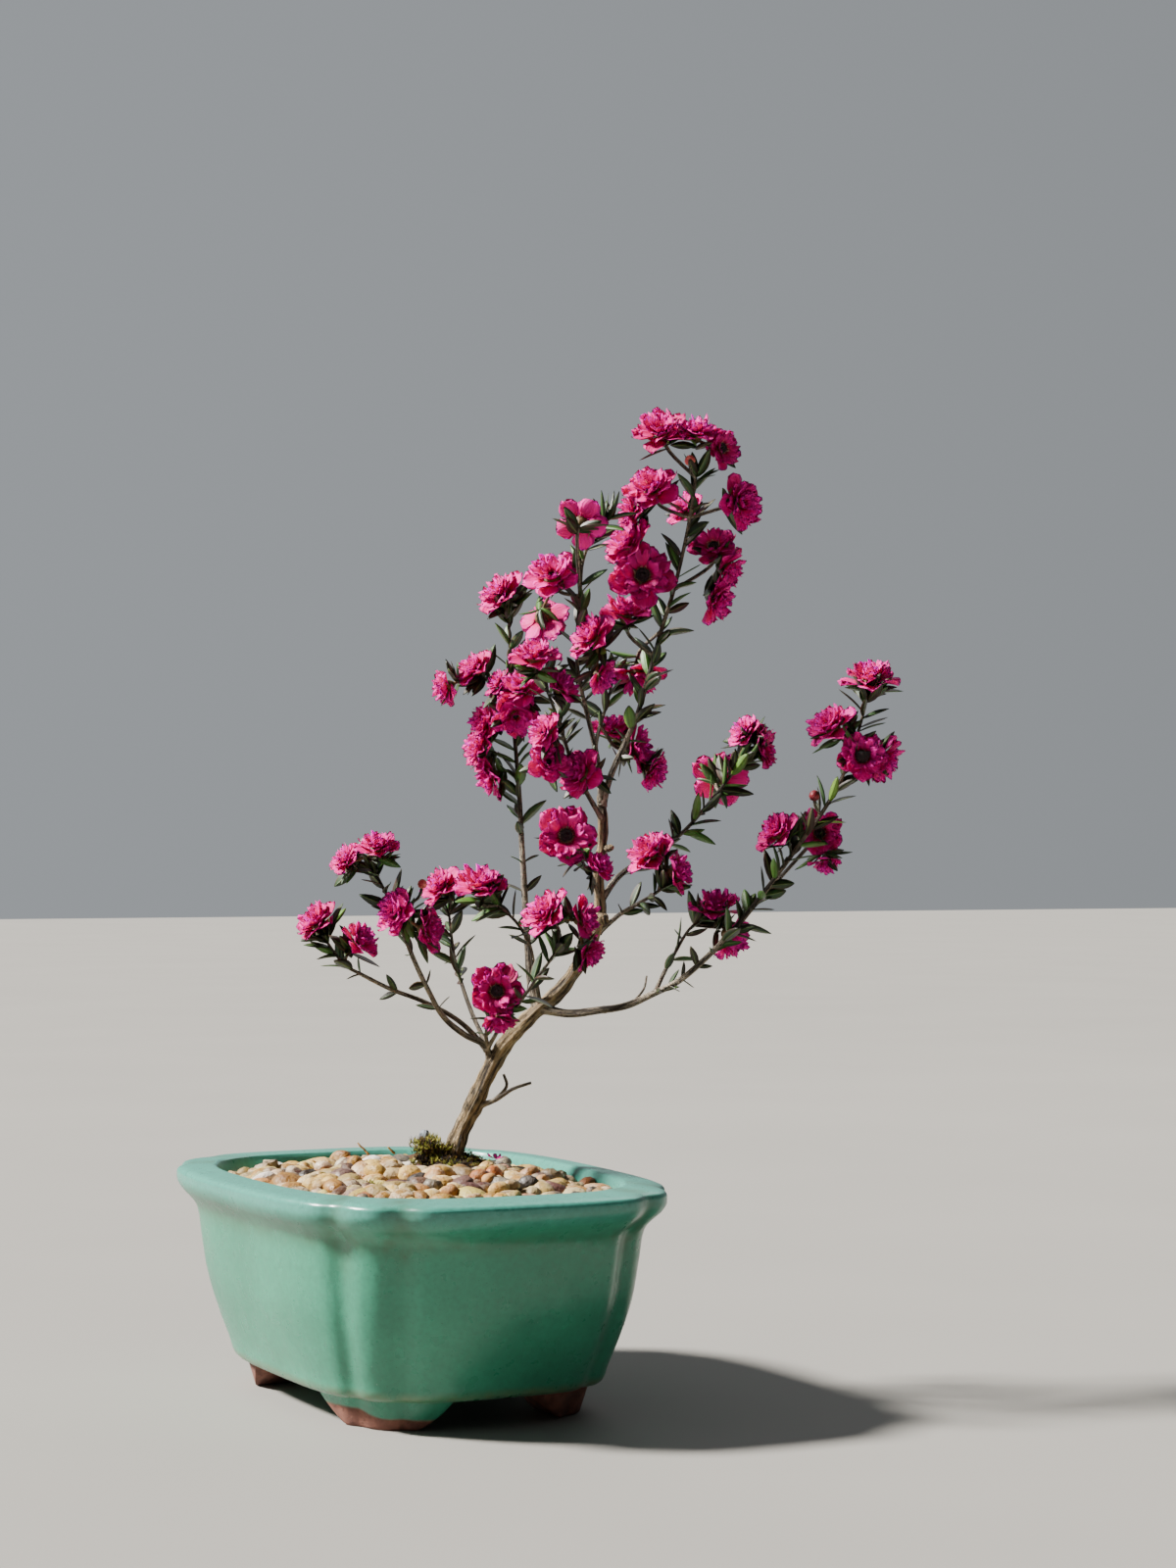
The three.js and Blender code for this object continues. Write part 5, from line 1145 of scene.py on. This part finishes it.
def shader_group(name, inputs, build):
    """A node group with named float or vector inputs and one Mask output."""
    group = bpy.data.node_groups.new(name, "ShaderNodeTree")
    for key, (kind, value) in inputs.items():
        item = group.interface.new_socket(name=key, in_out="INPUT", socket_type=kind)
        if value is not None:
            item.default_value = value
    group.interface.new_socket(name="Mask", in_out="OUTPUT", socket_type="NodeSocketFloat")
    entry = group.nodes.new("NodeGroupInput")
    leave = group.nodes.new("NodeGroupOutput")
    group.links.new(build(group, entry.outputs), leave.inputs["Mask"])
    return group


def build_patches(tree, given):
    """Soft patches: noise, 0 below the low level and 1 above the high one."""
    noise = add(tree, "TexNoise", {"Vector": given["Vector"], "Scale": given["Scale"], "Detail": 5.0})
    remap = add(tree, "MapRange", {"Value": noise.outputs["Fac"], "From Min": given["Low"], "From Max": given["High"]})
    return remap.outputs["Result"]


def build_specks(tree, given):
    """Specks of a size round the middles of cells, kept only where slower noise passes the rarity."""
    cells = add(tree, "TexVoronoi", {"Vector": given["Vector"], "Scale": given["Scale"]})
    remap = add(tree, "MapRange", {
        "Value": cells.outputs["Distance"], "From Min": given["Size"], "From Max": 0.0,
    })
    patches = add(tree, "TexNoise", {"Vector": given["Vector"], "Scale": given["Scale"], "Detail": 1.0})
    some = add(tree, "Math", {0: patches.outputs["Fac"], 1: given["Rarity"]}, operation="GREATER_THAN")
    both = add(tree, "Math", {0: remap.outputs["Result"], 1: some.outputs[0]}, operation="MULTIPLY", use_clamp=True)
    return both.outputs[0]


def build_fibres(tree, given):
    """Fibres: noise drawn out eleven times along Z, 0 below the low level and 1 above the high one."""
    stretch = add(tree, "VectorMath", {0: given["Vector"], 1: (1.0, 1.0, 0.09)}, operation="MULTIPLY")
    noise = add(tree, "TexNoise", {
        "Vector": stretch.outputs[0], "Scale": given["Scale"], "Detail": 6.0, "Roughness": 0.65, "Distortion": 0.4,
    })
    remap = add(tree, "MapRange", {"Value": noise.outputs["Fac"], "From Min": given["Low"], "From Max": given["High"]})
    return remap.outputs["Result"]


FLOAT, VECTOR = "NodeSocketFloat", "NodeSocketVector"
PATCHES = shader_group("Patches", {
    "Vector": (VECTOR, None), "Scale": (FLOAT, 100.0), "Low": (FLOAT, 0.35), "High": (FLOAT, 0.65),
}, build_patches)
SPECKS = shader_group("Specks", {
    "Vector": (VECTOR, None), "Scale": (FLOAT, 900.0), "Size": (FLOAT, 0.2), "Rarity": (FLOAT, 0.5),
}, build_specks)
FIBRES = shader_group("Fibres", {
    "Vector": (VECTOR, None), "Scale": (FLOAT, 900.0), "Low": (FLOAT, 0.35), "High": (FLOAT, 0.65),
}, build_fibres)


class Finish:
    """A material and its node tree, with short ways to mix colours and to place the shared effects."""

    def __init__(self, name, roughness=0.5, **shader):
        self.material = bpy.data.materials.new(name)
        self.material.use_nodes = True
        self.tree = self.material.node_tree
        self.shader = self.tree.nodes["Principled BSDF"]
        self.shader.inputs["Roughness"].default_value = roughness
        for key, value in shader.items():
            self.shader.inputs[key].default_value = value
        self.places = add(self.tree, "TexCoord").outputs
        self.object = self.places["Object"]

    def attribute(self, name, output="Fac"):
        """What the mesh carries at its points under a name."""
        return add(self.tree, "Attribute", attribute_name=name).outputs[output]

    def split(self, vector):
        """The X, Y and Z of a vector."""
        return add(self.tree, "SeparateXYZ", {"Vector": vector}).outputs

    def effect(self, group, vector=None, **values):
        """One of the shared groups with its own values, on object places unless another vector is given."""
        node = self.tree.nodes.new("ShaderNodeGroup")
        node.node_tree = group
        socket(self.tree, vector if vector is not None else self.object, node.inputs["Vector"])
        for key, value in values.items():
            node.inputs[key].default_value = value
        return node.outputs["Mask"]

    def blend(self, amount, first, second, mode="MIX"):
        """The first colour turned into the second by an amount."""
        node = add(self.tree, "Mix", data_type="RGBA", blend_type=mode)
        for key, value in ((0, amount), (6, first), (7, second)):
            if isinstance(value, tuple):
                value = (*value, 1.0)
            socket(self.tree, value, node.inputs[key])
        return node.outputs[2]

    def tint(self, colour, mask, share, shade, mode="MIX"):
        """The colour blended with a shade by a share of a mask."""
        return self.blend(self.math("MULTIPLY", mask, share), colour, shade, mode)

    def off_middle(self, place):
        """How far a place between 0 and 1 lies from a half."""
        return self.math("ABSOLUTE", self.math("SUBTRACT", place, 0.5))

    def math(self, operation, first, second=None):
        """One step of arithmetic."""
        return add(self.tree, "Math", {0: first, 1: second}, operation=operation).outputs[0]

    def between(self, value, low, high, to_low=0.0, to_high=1.0):
        """A straight line from one pair of values to another, held at both ends."""
        return add(self.tree, "MapRange", {
            "Value": value, "From Min": low, "From Max": high, "To Min": to_low, "To Max": to_high,
        }).outputs["Result"]

    def ramp(self, value, stops, interpolation="LINEAR"):
        """The colour at a value along a run of places and colours."""
        node = add(self.tree, "ValToRGB", {"Fac": value})
        node.color_ramp.interpolation = interpolation
        while len(node.color_ramp.elements) < len(stops):
            node.color_ramp.elements.new(0.5)
        for element, (place, colour) in zip(node.color_ramp.elements, stops):
            element.position = place
            element.color = (*colour, 1.0)
        return node.outputs["Color"]

    def height(self, value, distance):
        """Relief that a value raises by a distance in metres, over what relief there is."""
        previous = self.shader.inputs["Normal"].links
        node = add(self.tree, "Bump", {"Height": value, "Distance": distance, "Strength": 1.0})
        if previous:
            self.tree.links.new(previous[0].from_socket, node.inputs["Normal"])
        self.tree.links.new(node.outputs["Normal"], self.shader.inputs["Normal"])

    def done(self, colour, roughness=None):
        """Gives the shader its colour, and its roughness where that changes over the surface."""
        socket(self.tree, colour, self.shader.inputs["Base Color"])
        socket(self.tree, roughness, self.shader.inputs["Roughness"])
        return self.material


def rgb(hex_colour):
    """A linear colour from six hex digits."""
    values = np.array([int(hex_colour[i:i + 2], 16) / 255 for i in (0, 2, 4)])
    linear = np.where(values <= 0.04045, values / 12.92, ((values + 0.055) / 1.055) ** 2.4)
    return tuple(float(v) for v in linear)


def jade_glaze():
    """Mint green glaze that pools darker in places and breaks to olive where it runs thin, with iron specks, and
    bare brown clay below the line that each foot carries in its uv."""
    finish = Finish("jade_glaze", 0.3)
    height = finish.split(finish.object)["Z"]
    bare_below = finish.split(finish.places["UV"])["Y"]
    cloud = finish.effect(PATCHES, Scale=30.0, Low=0.3, High=0.7)
    colour = finish.blend(cloud, rgb("2c785d"), rgb("389172"))
    lip = finish.between(height, 0.0525, 0.057)
    colour = finish.tint(colour, lip, 0.7, rgb("4c958a"))
    mottle = finish.effect(PATCHES, Scale=700.0, Low=0.35, High=0.75)
    colour = finish.tint(colour, mottle, 0.35, rgb("265847"))
    broken = finish.effect(PATCHES, Scale=220.0, Low=0.25, High=0.75)
    thin = finish.math("MULTIPLY", finish.attribute("tone"), finish.between(broken, 0.0, 1.0, 0.1, 0.62))
    colour = finish.blend(thin, colour, rgb("414b2c"))
    wobble = finish.effect(PATCHES, Scale=90.0, Low=0.0, High=1.0)
    shift = finish.between(wobble, 0.0, 1.0, -0.0007, 0.0007)
    bottom = finish.math("ADD", height, shift)
    bead = finish.math("MULTIPLY", finish.between(bottom, 0.0112, 0.0092), finish.between(bottom, 0.0072, 0.0086))
    bead = finish.math("MULTIPLY", bead, finish.between(broken, 0.0, 1.0, 0.1, 0.75))
    colour = finish.blend(bead, colour, rgb("707652"))
    specks = finish.effect(SPECKS, Scale=900.0, Size=0.16, Rarity=0.5)
    colour = finish.tint(colour, specks, 0.85, rgb("10241b"))
    pale = finish.effect(SPECKS, Scale=300.0, Size=0.08, Rarity=0.58)
    colour = finish.tint(colour, pale, 0.6, rgb("88b09c"))
    clay = finish.blend(finish.effect(PATCHES, Scale=300.0), rgb("5a352a"), rgb("805243"))
    sand = finish.effect(SPECKS, Scale=900.0, Size=0.35, Rarity=0.5)
    clay = finish.tint(clay, sand, 0.5, rgb("3c2a25"))
    line = finish.math("MULTIPLY", bare_below, 0.01)
    over = finish.math("SUBTRACT", bottom, line)
    bare = finish.between(over, 0.0004, -0.0004)
    colour = finish.blend(bare, colour, clay)
    ripples = finish.effect(PATCHES, Scale=150.0, Low=0.2, High=0.8)
    finish.height(ripples, 0.00012)
    finish.height(finish.math("MULTIPLY", specks, -1.0), 0.00006)
    finish.height(finish.math("MULTIPLY", sand, bare), 0.00012)
    gloss = finish.between(broken, 0.0, 1.0, 0.24, 0.36)
    roughness = add(finish.tree, "Mix", {0: bare, 2: gloss, 3: 0.85}, data_type="FLOAT").outputs[0]
    return finish.done(colour, roughness)


def stones():
    """River stones: each takes a colour from a run of them, lighter or darker by its own share, with bands, rusty
    stains and pits."""
    finish = Finish("river_stones", 0.6)
    own = finish.split(finish.places["UV"])
    palette = [
        (0.0, "9c7022"), (0.08, "d4ac50"), (0.17, "5a3820"), (0.24, "a48c4c"), (0.34, "bc8648"), (0.42, "a47a2a"),
        (0.5, "dcb860"), (0.58, "ccb856"), (0.66, "5e3832"), (0.73, "7a5e2c"), (0.79, "3a332c"), (0.83, "ac621e"),
        (0.88, "b0a070"), (0.93, "b88c6c"), (0.965, "fffaf0"),
    ]
    colour = finish.ramp(finish.attribute("tone"), [(at, rgb(code)) for at, code in palette], "CONSTANT")
    shade = finish.between(own["X"], 0.3, 1.0, 0.5, 0.0)
    colour = finish.tint(colour, shade, 0.7, rgb("6b4a2e"), "MULTIPLY")
    grain = finish.attribute("grain", "Vector")
    bands = finish.effect(FIBRES, grain, Scale=260.0, Low=0.42, High=0.6)
    banded = finish.math("MULTIPLY", bands, finish.between(own["Y"], 0.3, 1.0, 0.0, 0.6))
    colour = finish.blend(banded, colour, rgb("f6e6c2"))
    stain = finish.effect(PATCHES, grain, Scale=240.0, Low=0.5, High=0.72)
    colour = finish.tint(colour, stain, 0.6, rgb("b5672a"), "MULTIPLY")
    mottle = finish.effect(PATCHES, grain, Scale=900.0, Low=0.4, High=0.7)
    colour = finish.tint(colour, mottle, 0.22, rgb("4a3525"))
    pits = finish.effect(SPECKS, grain, Scale=1100.0, Size=0.3, Rarity=0.5)
    colour = finish.tint(colour, pits, 0.5, rgb("4a3826"))
    finish.height(stain, 0.0003)
    finish.height(mottle, 0.00012)
    finish.height(finish.math("MULTIPLY", pits, -1.0), 0.00012)
    return finish.done(colour, finish.between(mottle, 0.0, 1.0, 0.45, 0.75))


def grit():
    """Dark grit with paler crumbs."""
    finish = Finish("dark_grit", 0.95)
    cells = finish.effect(SPECKS, Scale=420.0, Size=0.6, Rarity=0.3)
    colour = finish.blend(cells, rgb("2c211a"), rgb("75624c"))
    finish.height(cells, 0.0006)
    return finish.done(colour)


def moss():
    """Moss: dark soil crumbs for the lowest tones, then rusty, olive and yellow green sprigs."""
    finish = Finish("moss", 0.95)
    patch = finish.effect(PATCHES, Scale=190.0, Low=0.35, High=0.65)
    tone = finish.math("ADD", finish.attribute("tone"), finish.between(patch, 0.0, 1.0, -0.15, 0.15))
    colour = finish.ramp(tone, [
        (0.05, rgb("1a110a")), (0.25, rgb("4a3010")), (0.42, rgb("7a5a14")), (0.6, rgb("6b7418")), (0.8, rgb("a3a52c")),
        (0.97, rgb("d8cc5a")),
    ])
    fine = finish.effect(PATCHES, Scale=1400.0, Low=0.3, High=0.7)
    colour = finish.tint(colour, fine, 0.35, rgb("140d06"))
    finish.height(fine, 0.0006)
    return finish.done(colour)


def bark():
    """Bark that peels in long fibres: pale tan strips over dark brown cracks on the old wood, greyer and darker
    on the young, with small pale lichen."""
    finish = Finish("fibrous_bark", 0.88)
    grain = finish.attribute("grain", "Vector")
    coarse = finish.effect(FIBRES, grain, Scale=620.0, Low=0.42, High=0.62)
    fine = finish.effect(FIBRES, grain, Scale=2400.0, Low=0.42, High=0.64)
    age = finish.attribute("tone")
    old = finish.blend(coarse, rgb("33241a"), rgb("c2a274"))
    young = finish.blend(coarse, rgb("3b3028"), rgb("b9ac9a"))
    fresh = finish.blend(coarse, rgb("2c211a"), rgb("857260"))
    colour = finish.blend(finish.between(age, 0.3, 0.15), young, fresh)
    colour = finish.blend(finish.between(age, 0.4, 0.7), colour, old)
    strips = finish.math("MULTIPLY", fine, finish.between(age, 0.1, 0.6, 0.2, 0.6))
    colour = finish.blend(strips, colour, rgb("dcc8a2"))
    flecks = finish.effect(PATCHES, Scale=1300.0, Low=0.52, High=0.66)
    flecks = finish.math("MULTIPLY", flecks, finish.between(age, 0.2, 0.9, 0.7, 0.35))
    colour = finish.blend(flecks, colour, rgb("1d130c"))
    cracks = finish.between(coarse, 0.3, 0.0)
    colour = finish.tint(colour, cracks, 0.85, rgb("1d130c"))
    lichen = finish.effect(SPECKS, Scale=260.0, Size=0.3, Rarity=0.6)
    colour = finish.tint(colour, lichen, 0.45, rgb("c9c6ae"))
    finish.height(coarse, 0.0012)
    finish.height(fine, 0.00025)
    return finish.done(colour)


def leaf():
    """Narrow leathery leaves from bronze to dark and fresh green, with a pale rib and a reddish edge."""
    finish = Finish("leaf", 0.5)
    uv = finish.split(finish.places["UV"])
    colour = finish.ramp(finish.attribute("tone"), [
        (0.0, rgb("32190f")), (0.15, rgb("2a2714")), (0.35, rgb("1a3017")), (0.62, rgb("244a1c")),
        (0.85, rgb("427524")), (1.0, rgb("7a9a30")),
    ])
    off_middle = finish.off_middle(uv["X"])
    edge = finish.between(off_middle, 0.34, 0.5)
    colour = finish.tint(colour, edge, 0.5, rgb("5c2420"))
    rib = finish.between(off_middle, 0.1, 0.02)
    colour = finish.tint(colour, rib, 0.4, rgb("7f9a50"))
    patch = finish.effect(PATCHES, Scale=300.0, Low=0.5, High=0.75)
    colour = finish.tint(colour, patch, 0.35, rgb("4d2c1c"))
    finish.height(rib, 0.0001)
    return finish.done(colour)


def petal():
    """Magenta petals: crimson towards the foot, partly their own colour and partly painted shade deep in the flower;
    paler pink along the ruffled edge and tip, partly their own colour and partly a painted highlight; faint veins.
    """
    finish = Finish("magenta_petal", 0.6, **{
        "Specular IOR Level": 0.25, "Subsurface Weight": 0.35, "Subsurface Radius": (1.0, 0.15, 0.5),
        "Subsurface Scale": 0.0006,
    })
    uv = finish.split(finish.places["UV"])
    colour = finish.ramp(finish.attribute("tone"), [
        (0.05, (0.25, 0.0, 0.05)), (0.3, (0.55, 0.0, 0.15)), (0.5, (0.8, 0.0, 0.26)), (0.75, (0.95, 0.0, 0.38)),
        (0.95, (1.0, 0.005, 0.5)),
    ])
    # Crimson towards each petal's foot: partly the petal's own colour, partly painted shade deep inside the flower.
    crimson_foot_and_shade = finish.between(uv["Y"], 0.5, 0.1)
    colour = finish.tint(colour, crimson_foot_and_shade, 0.8, (0.7, 0.0, 0.06))
    # Paler, bluer pink along the edges and tips: partly the petal's own colour, partly a painted highlight where they
    # catch the light.
    tip = finish.between(uv["Y"], 0.72, 1.0)
    off_middle = finish.off_middle(uv["X"])
    rim = finish.math("MAXIMUM", tip, finish.between(off_middle, 0.36, 0.5))
    patch = finish.effect(PATCHES, Scale=420.0, Low=0.4, High=0.65)
    rim = finish.math("MULTIPLY", rim, finish.between(patch, 0.0, 1.0, 0.05, 0.35))
    colour = finish.blend(rim, colour, (1.0, 0.03, 0.6))
    veins_at = add(finish.tree, "CombineXYZ", {
        "X": finish.math("MULTIPLY", uv["X"], 14.0), "Y": finish.math("MULTIPLY", uv["Y"], 1.6),
    }).outputs[0]
    veins = add(finish.tree, "TexNoise", {"Vector": veins_at, "Scale": 1.0, "Detail": 2.0}).outputs["Fac"]
    veins = finish.between(veins, 0.45, 0.65)
    colour = finish.tint(colour, veins, 0.18, (0.6, 0.0, 0.12))
    finish.height(veins, 0.0001)
    return finish.done(colour)


def plain_finish(name, dark, light, scale, bump, roughness):
    """Patches of a dark and a light colour, with relief from the same patches."""
    finish = Finish(name, roughness)
    patch = finish.effect(PATCHES, Scale=scale, Low=0.35, High=0.65)
    finish.height(patch, bump)
    return finish.done(finish.blend(patch, rgb(dark), rgb(light)))


GLAZE = jade_glaze()
STONES = stones()
GRIT = grit()
MOSS = moss()
BARK = bark()
LEAVES = leaf()
PETALS = petal()
CUPS = plain_finish("flower_cup", "46401f", "7c5a35", 700.0, 0.0002, 0.6)
EYES = plain_finish("flower_eye", "070103", "260410", 1500.0, 0.0003, 0.4)
STAMENS = plain_finish("stamens", "7a1030", "f0b8a8", 900.0, 0.0, 0.6)
SOIL = plain_finish("potting_soil", "17100b", "3a2a1e", 600.0, 0.0008, 1.0)
CHIPS = plain_finish("weathered_chip", "5b5045", "b09a7a", 500.0, 0.0004, 0.95)
GREY_CHIPS = plain_finish("grey_weathered_chip", "3c4146", "8f979d", 500.0, 0.0004, 0.95)
BUD_FINISHES = {
    "pink_bud": plain_finish("pink_bud", "c0303c", "f08a78", 600.0, 0.0002, 0.45),
    "red_bud": plain_finish("red_bud", "4a0c14", "8a1c28", 600.0, 0.0002, 0.45),
    "capsule": plain_finish("spent_capsule", "0a0406", "24100f", 900.0, 0.0003, 0.8),
}
TWIG = plain_finish("dry_twig", "6a4a20", "b08a4a", 900.0, 0.0002, 0.9)


# Pieces

make_piece("pot_bowl", [pot_body()] + [foot((sx, sy)) for sx in (1, -1) for sy in (1, -1)], [GLAZE], ["pot"])

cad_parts["soil"].material_slots[0].material = SOIL

rng = np.random.default_rng(GRAVEL_SEED)
layers = [pebble_layer(rng, count=325, depth=0, noted=NOTED_STONES), pebble_layer(rng, count=200, depth=3.4)]
litter = [litter_twig(rng, *twig) for twig in LITTER]
gravel_surfaces = [pebbles(rng, *layer, STONE) for layer in layers] + [gravel_bed()] + litter
make_piece("gravel_stones", gravel_surfaces, [STONES, GRIT, TWIG], ["gravel"])

mound = moss_mound()
on_mound = mound["points"][MOUND_COLUMNS:]
scattered = on_mound[rng.integers(0, len(on_mound), SCATTERED_TUFTS)]
left_tuft = mix(spot((442, 1165, 20)), spot((434, 1187, 19)), rng.uniform(0, 1, (LEFT_TUFT_CENTRES, 1)))
left_tuft += rng.normal(0, 1.0, (LEFT_TUFT_CENTRES, 3)) * [1.9, 1.9, 0.8]
front_tuft = np.array([on_level(column, 1196, 61) for column in (470, 478, 489)])
strays = np.array([on_level(378, 1208, 59), on_level(357, 1203, 59), on_level(381, 1211, 58.5)])
sprigs = [mound]
for centres, count, spread, height, darker in (
    (scattered, 22, 0.75, 1.2, 0.12), (left_tuft, 24, 0.8, 2.4, 0.0), (front_tuft, 20, 0.8, 1.6, 0.0),
    (strays, 14, 0.7, 2.0, 0.0),
):
    roots, tips, tones = tufts(rng, centres, count, spread, height)
    sprigs.append(spikes(roots, tips, SPRIG_WIDTH, 0, np.clip(tones - darker, 0, 1)))
make_piece("moss_mound", sprigs, [MOSS], ["moss"])

upright_chip = splinter(spot((432, 1163, 21)), size=(5.2, 2.6, 1.6), tilt=-1.35, turn=0.6)
lying_chip = splinter(spot((276, 1189, 34)), size=(9, 4.5, 3), tilt=0.15, turn=1.2)
make_piece("bark_chip_slab", [upright_chip], [GREY_CHIPS], ["bark_chip"])
make_piece("wood_chip_slab", [lying_chip], [CHIPS], ["wood_chip"])

lying = unit(np.array([0.1, -0.1, 1.0]))
fallen = petal_set(
    rng, spot((505, 1181, 20)) - UP * 0.3, lying, radius=2.7, turn=np.array([0.4, 2.4, 4.2]), foot=(0.05, 0.0),
    tip_out=[1.0, 0.9, 0.8], tip_up=[0.4, 0.3, 0.35], half_width=[0.5, 0.45, 0.4], ruffle=0.14,
    bend=[1.4, 1.2, 1.3], tone=0.7,
)
make_piece("petal_fallen", [fallen], [PETALS], ["fallen_petal"])

limbs = [branch_tube("trunk", 0, 1, per_pick=16, sides=36, ridges=0.12, material=0, tone=TRUNK_TONE)]
for name in BRANCHES:
    if name != "trunk":
        end = bare_share(name) if BRANCHES[name][2] else 1
        tone = DEAD_TONE if name in DEAD_WOOD else LIMB_TONE
        limbs.append(branch_tube(name, 0, end, per_pick=14, sides=14, ridges=0.09, material=0, tone=tone))
limbs += [knob(spot(pick), radius, seed) for pick, radius, seed in KNOBS]
make_piece("wood", limbs, [BARK], ["trunk"])

for index, (name, (carrier, flowers)) in enumerate(BLOOMS.items()):
    draw = seeded_draw(BLOOM_DRAW_SEED + SEED_STEP * index)
    rng = np.random.default_rng(BLOOM_SEED + index)
    parts = [part for data in flowers for part in flower(rng, data, draw)]
    cups = [cup_middle(data) for data in flowers]
    for i in range(1, len(cups)):
        nearest = min(cups[:i], key=lambda cup: np.linalg.norm(cup - cups[i]))
        parts.append(stalk_tube(np.array([nearest, (nearest + cups[i]) / 2, cups[i]]), BUNCH_STALK_RADIUS, CUP))
    make_piece("flowers_" + name, parts, [PETALS, CUPS, EYES, STAMENS], ["bloom_" + name])

leafy = [name for name, (_, _, picks) in BRANCHES.items() if picks]
for index, name in enumerate(leafy):
    rng = np.random.default_rng(LEAF_SEED + index)
    parts = shoot(name, index, rng)
    finishes = [LEAVES, BARK]
    for column, row, behind, radius, kind in BUDS.get(name, []):
        profile = CAPSULE_PROFILE if kind == "capsule" else BUD_PROFILE
        parts.append(revolved(spot((column, row, behind)), UP, np.array(profile) * radius, 14, len(finishes), 0.5))
        finishes.append(BUD_FINISHES[kind])
    make_piece("leaves_" + name, parts, finishes, ["shoot_" + name])


# Stage

FLOOR_HALF = 6.0


def aim_light(light, place, aim):
    """Hangs a light at a place and points it at another."""
    lamp = bpy.data.objects.new(light.name, light)
    lamp.location = place
    lamp.rotation_euler = Vector((aim - place).tolist()).to_track_quat("-Z", "Y").to_euler()
    bpy.context.scene.collection.objects.link(lamp)


def build_stage():
    """A pale floor, a soft key light from the upper left of the picture, a weak one from behind, and a room that is
    pale behind the pot and at its left and dim at the other side."""
    mesh = bpy.data.meshes.new("floor")
    corners = [(x * FLOOR_HALF, y * FLOOR_HALF, 0) for x, y in ((-1, -1), (1, -1), (1, 1), (-1, 1))]
    mesh.from_pydata(corners, [], [(0, 1, 2, 3)])
    floor = bpy.data.objects.new("floor", mesh)
    bpy.context.scene.collection.objects.link(floor)
    finish = Finish("pale_floor", 0.8)
    patch = finish.effect(PATCHES, Scale=6.0, Low=0.2, High=0.8)
    mesh.materials.append(finish.done(finish.blend(patch, rgb("8b8882"), rgb("908d87"))))
    middle = POT_MIDDLE * MM + np.array([0.03, 0, 0.11])
    key = bpy.data.lights.new("key", "SUN")
    key.energy = 15.0
    key.angle = np.radians(9)
    key.color = (1.0, 0.97, 0.93)
    aim_light(key, middle + turned_back((-1.05, 0.02, 0.95)), middle)
    behind = bpy.data.lights.new("behind", "AREA")
    behind.shape = "DISK"
    behind.size = 0.8
    behind.energy = 2.0
    aim_light(behind, middle + turned_back((0.3, 1.2, 0.9)), middle)
    world = bpy.data.worlds.new("room")
    world.use_nodes = True
    background = world.node_tree.nodes["Background"]
    background.inputs["Color"].default_value = (0.62, 0.66, 0.7, 1)
    direction = add(world.node_tree, "TexCoord").outputs["Generated"]
    bright_side = tuple(turned_back(np.array([-0.7, 0.7, 0.1])))
    towards = add(world.node_tree, "VectorMath", {0: direction, 1: bright_side}, operation="DOT_PRODUCT")
    strength = add(world.node_tree, "MapRange", {
        "Value": towards.outputs["Value"], "From Min": -0.9, "From Max": 0.9, "To Min": 0.05, "To Max": 0.56,
    })
    socket(world.node_tree, strength.outputs["Result"], background.inputs["Strength"])
    bpy.context.scene.world = world


def build_camera():
    """The camera at the eye that the picks were taken from."""
    camera_data = bpy.data.cameras.new("camera")
    camera_data.lens = 72
    camera_data.sensor_width = 36
    camera_data.clip_end = 20
    camera = bpy.data.objects.new("camera", camera_data)
    camera.location = (turned_back(EYE) + POT_MIDDLE) * MM
    camera.rotation_euler = (np.pi / 2 + EYE_TILT, 0, -POT_TURN)
    bpy.context.scene.collection.objects.link(camera)
    bpy.context.scene.camera = camera


build_stage()
build_camera()
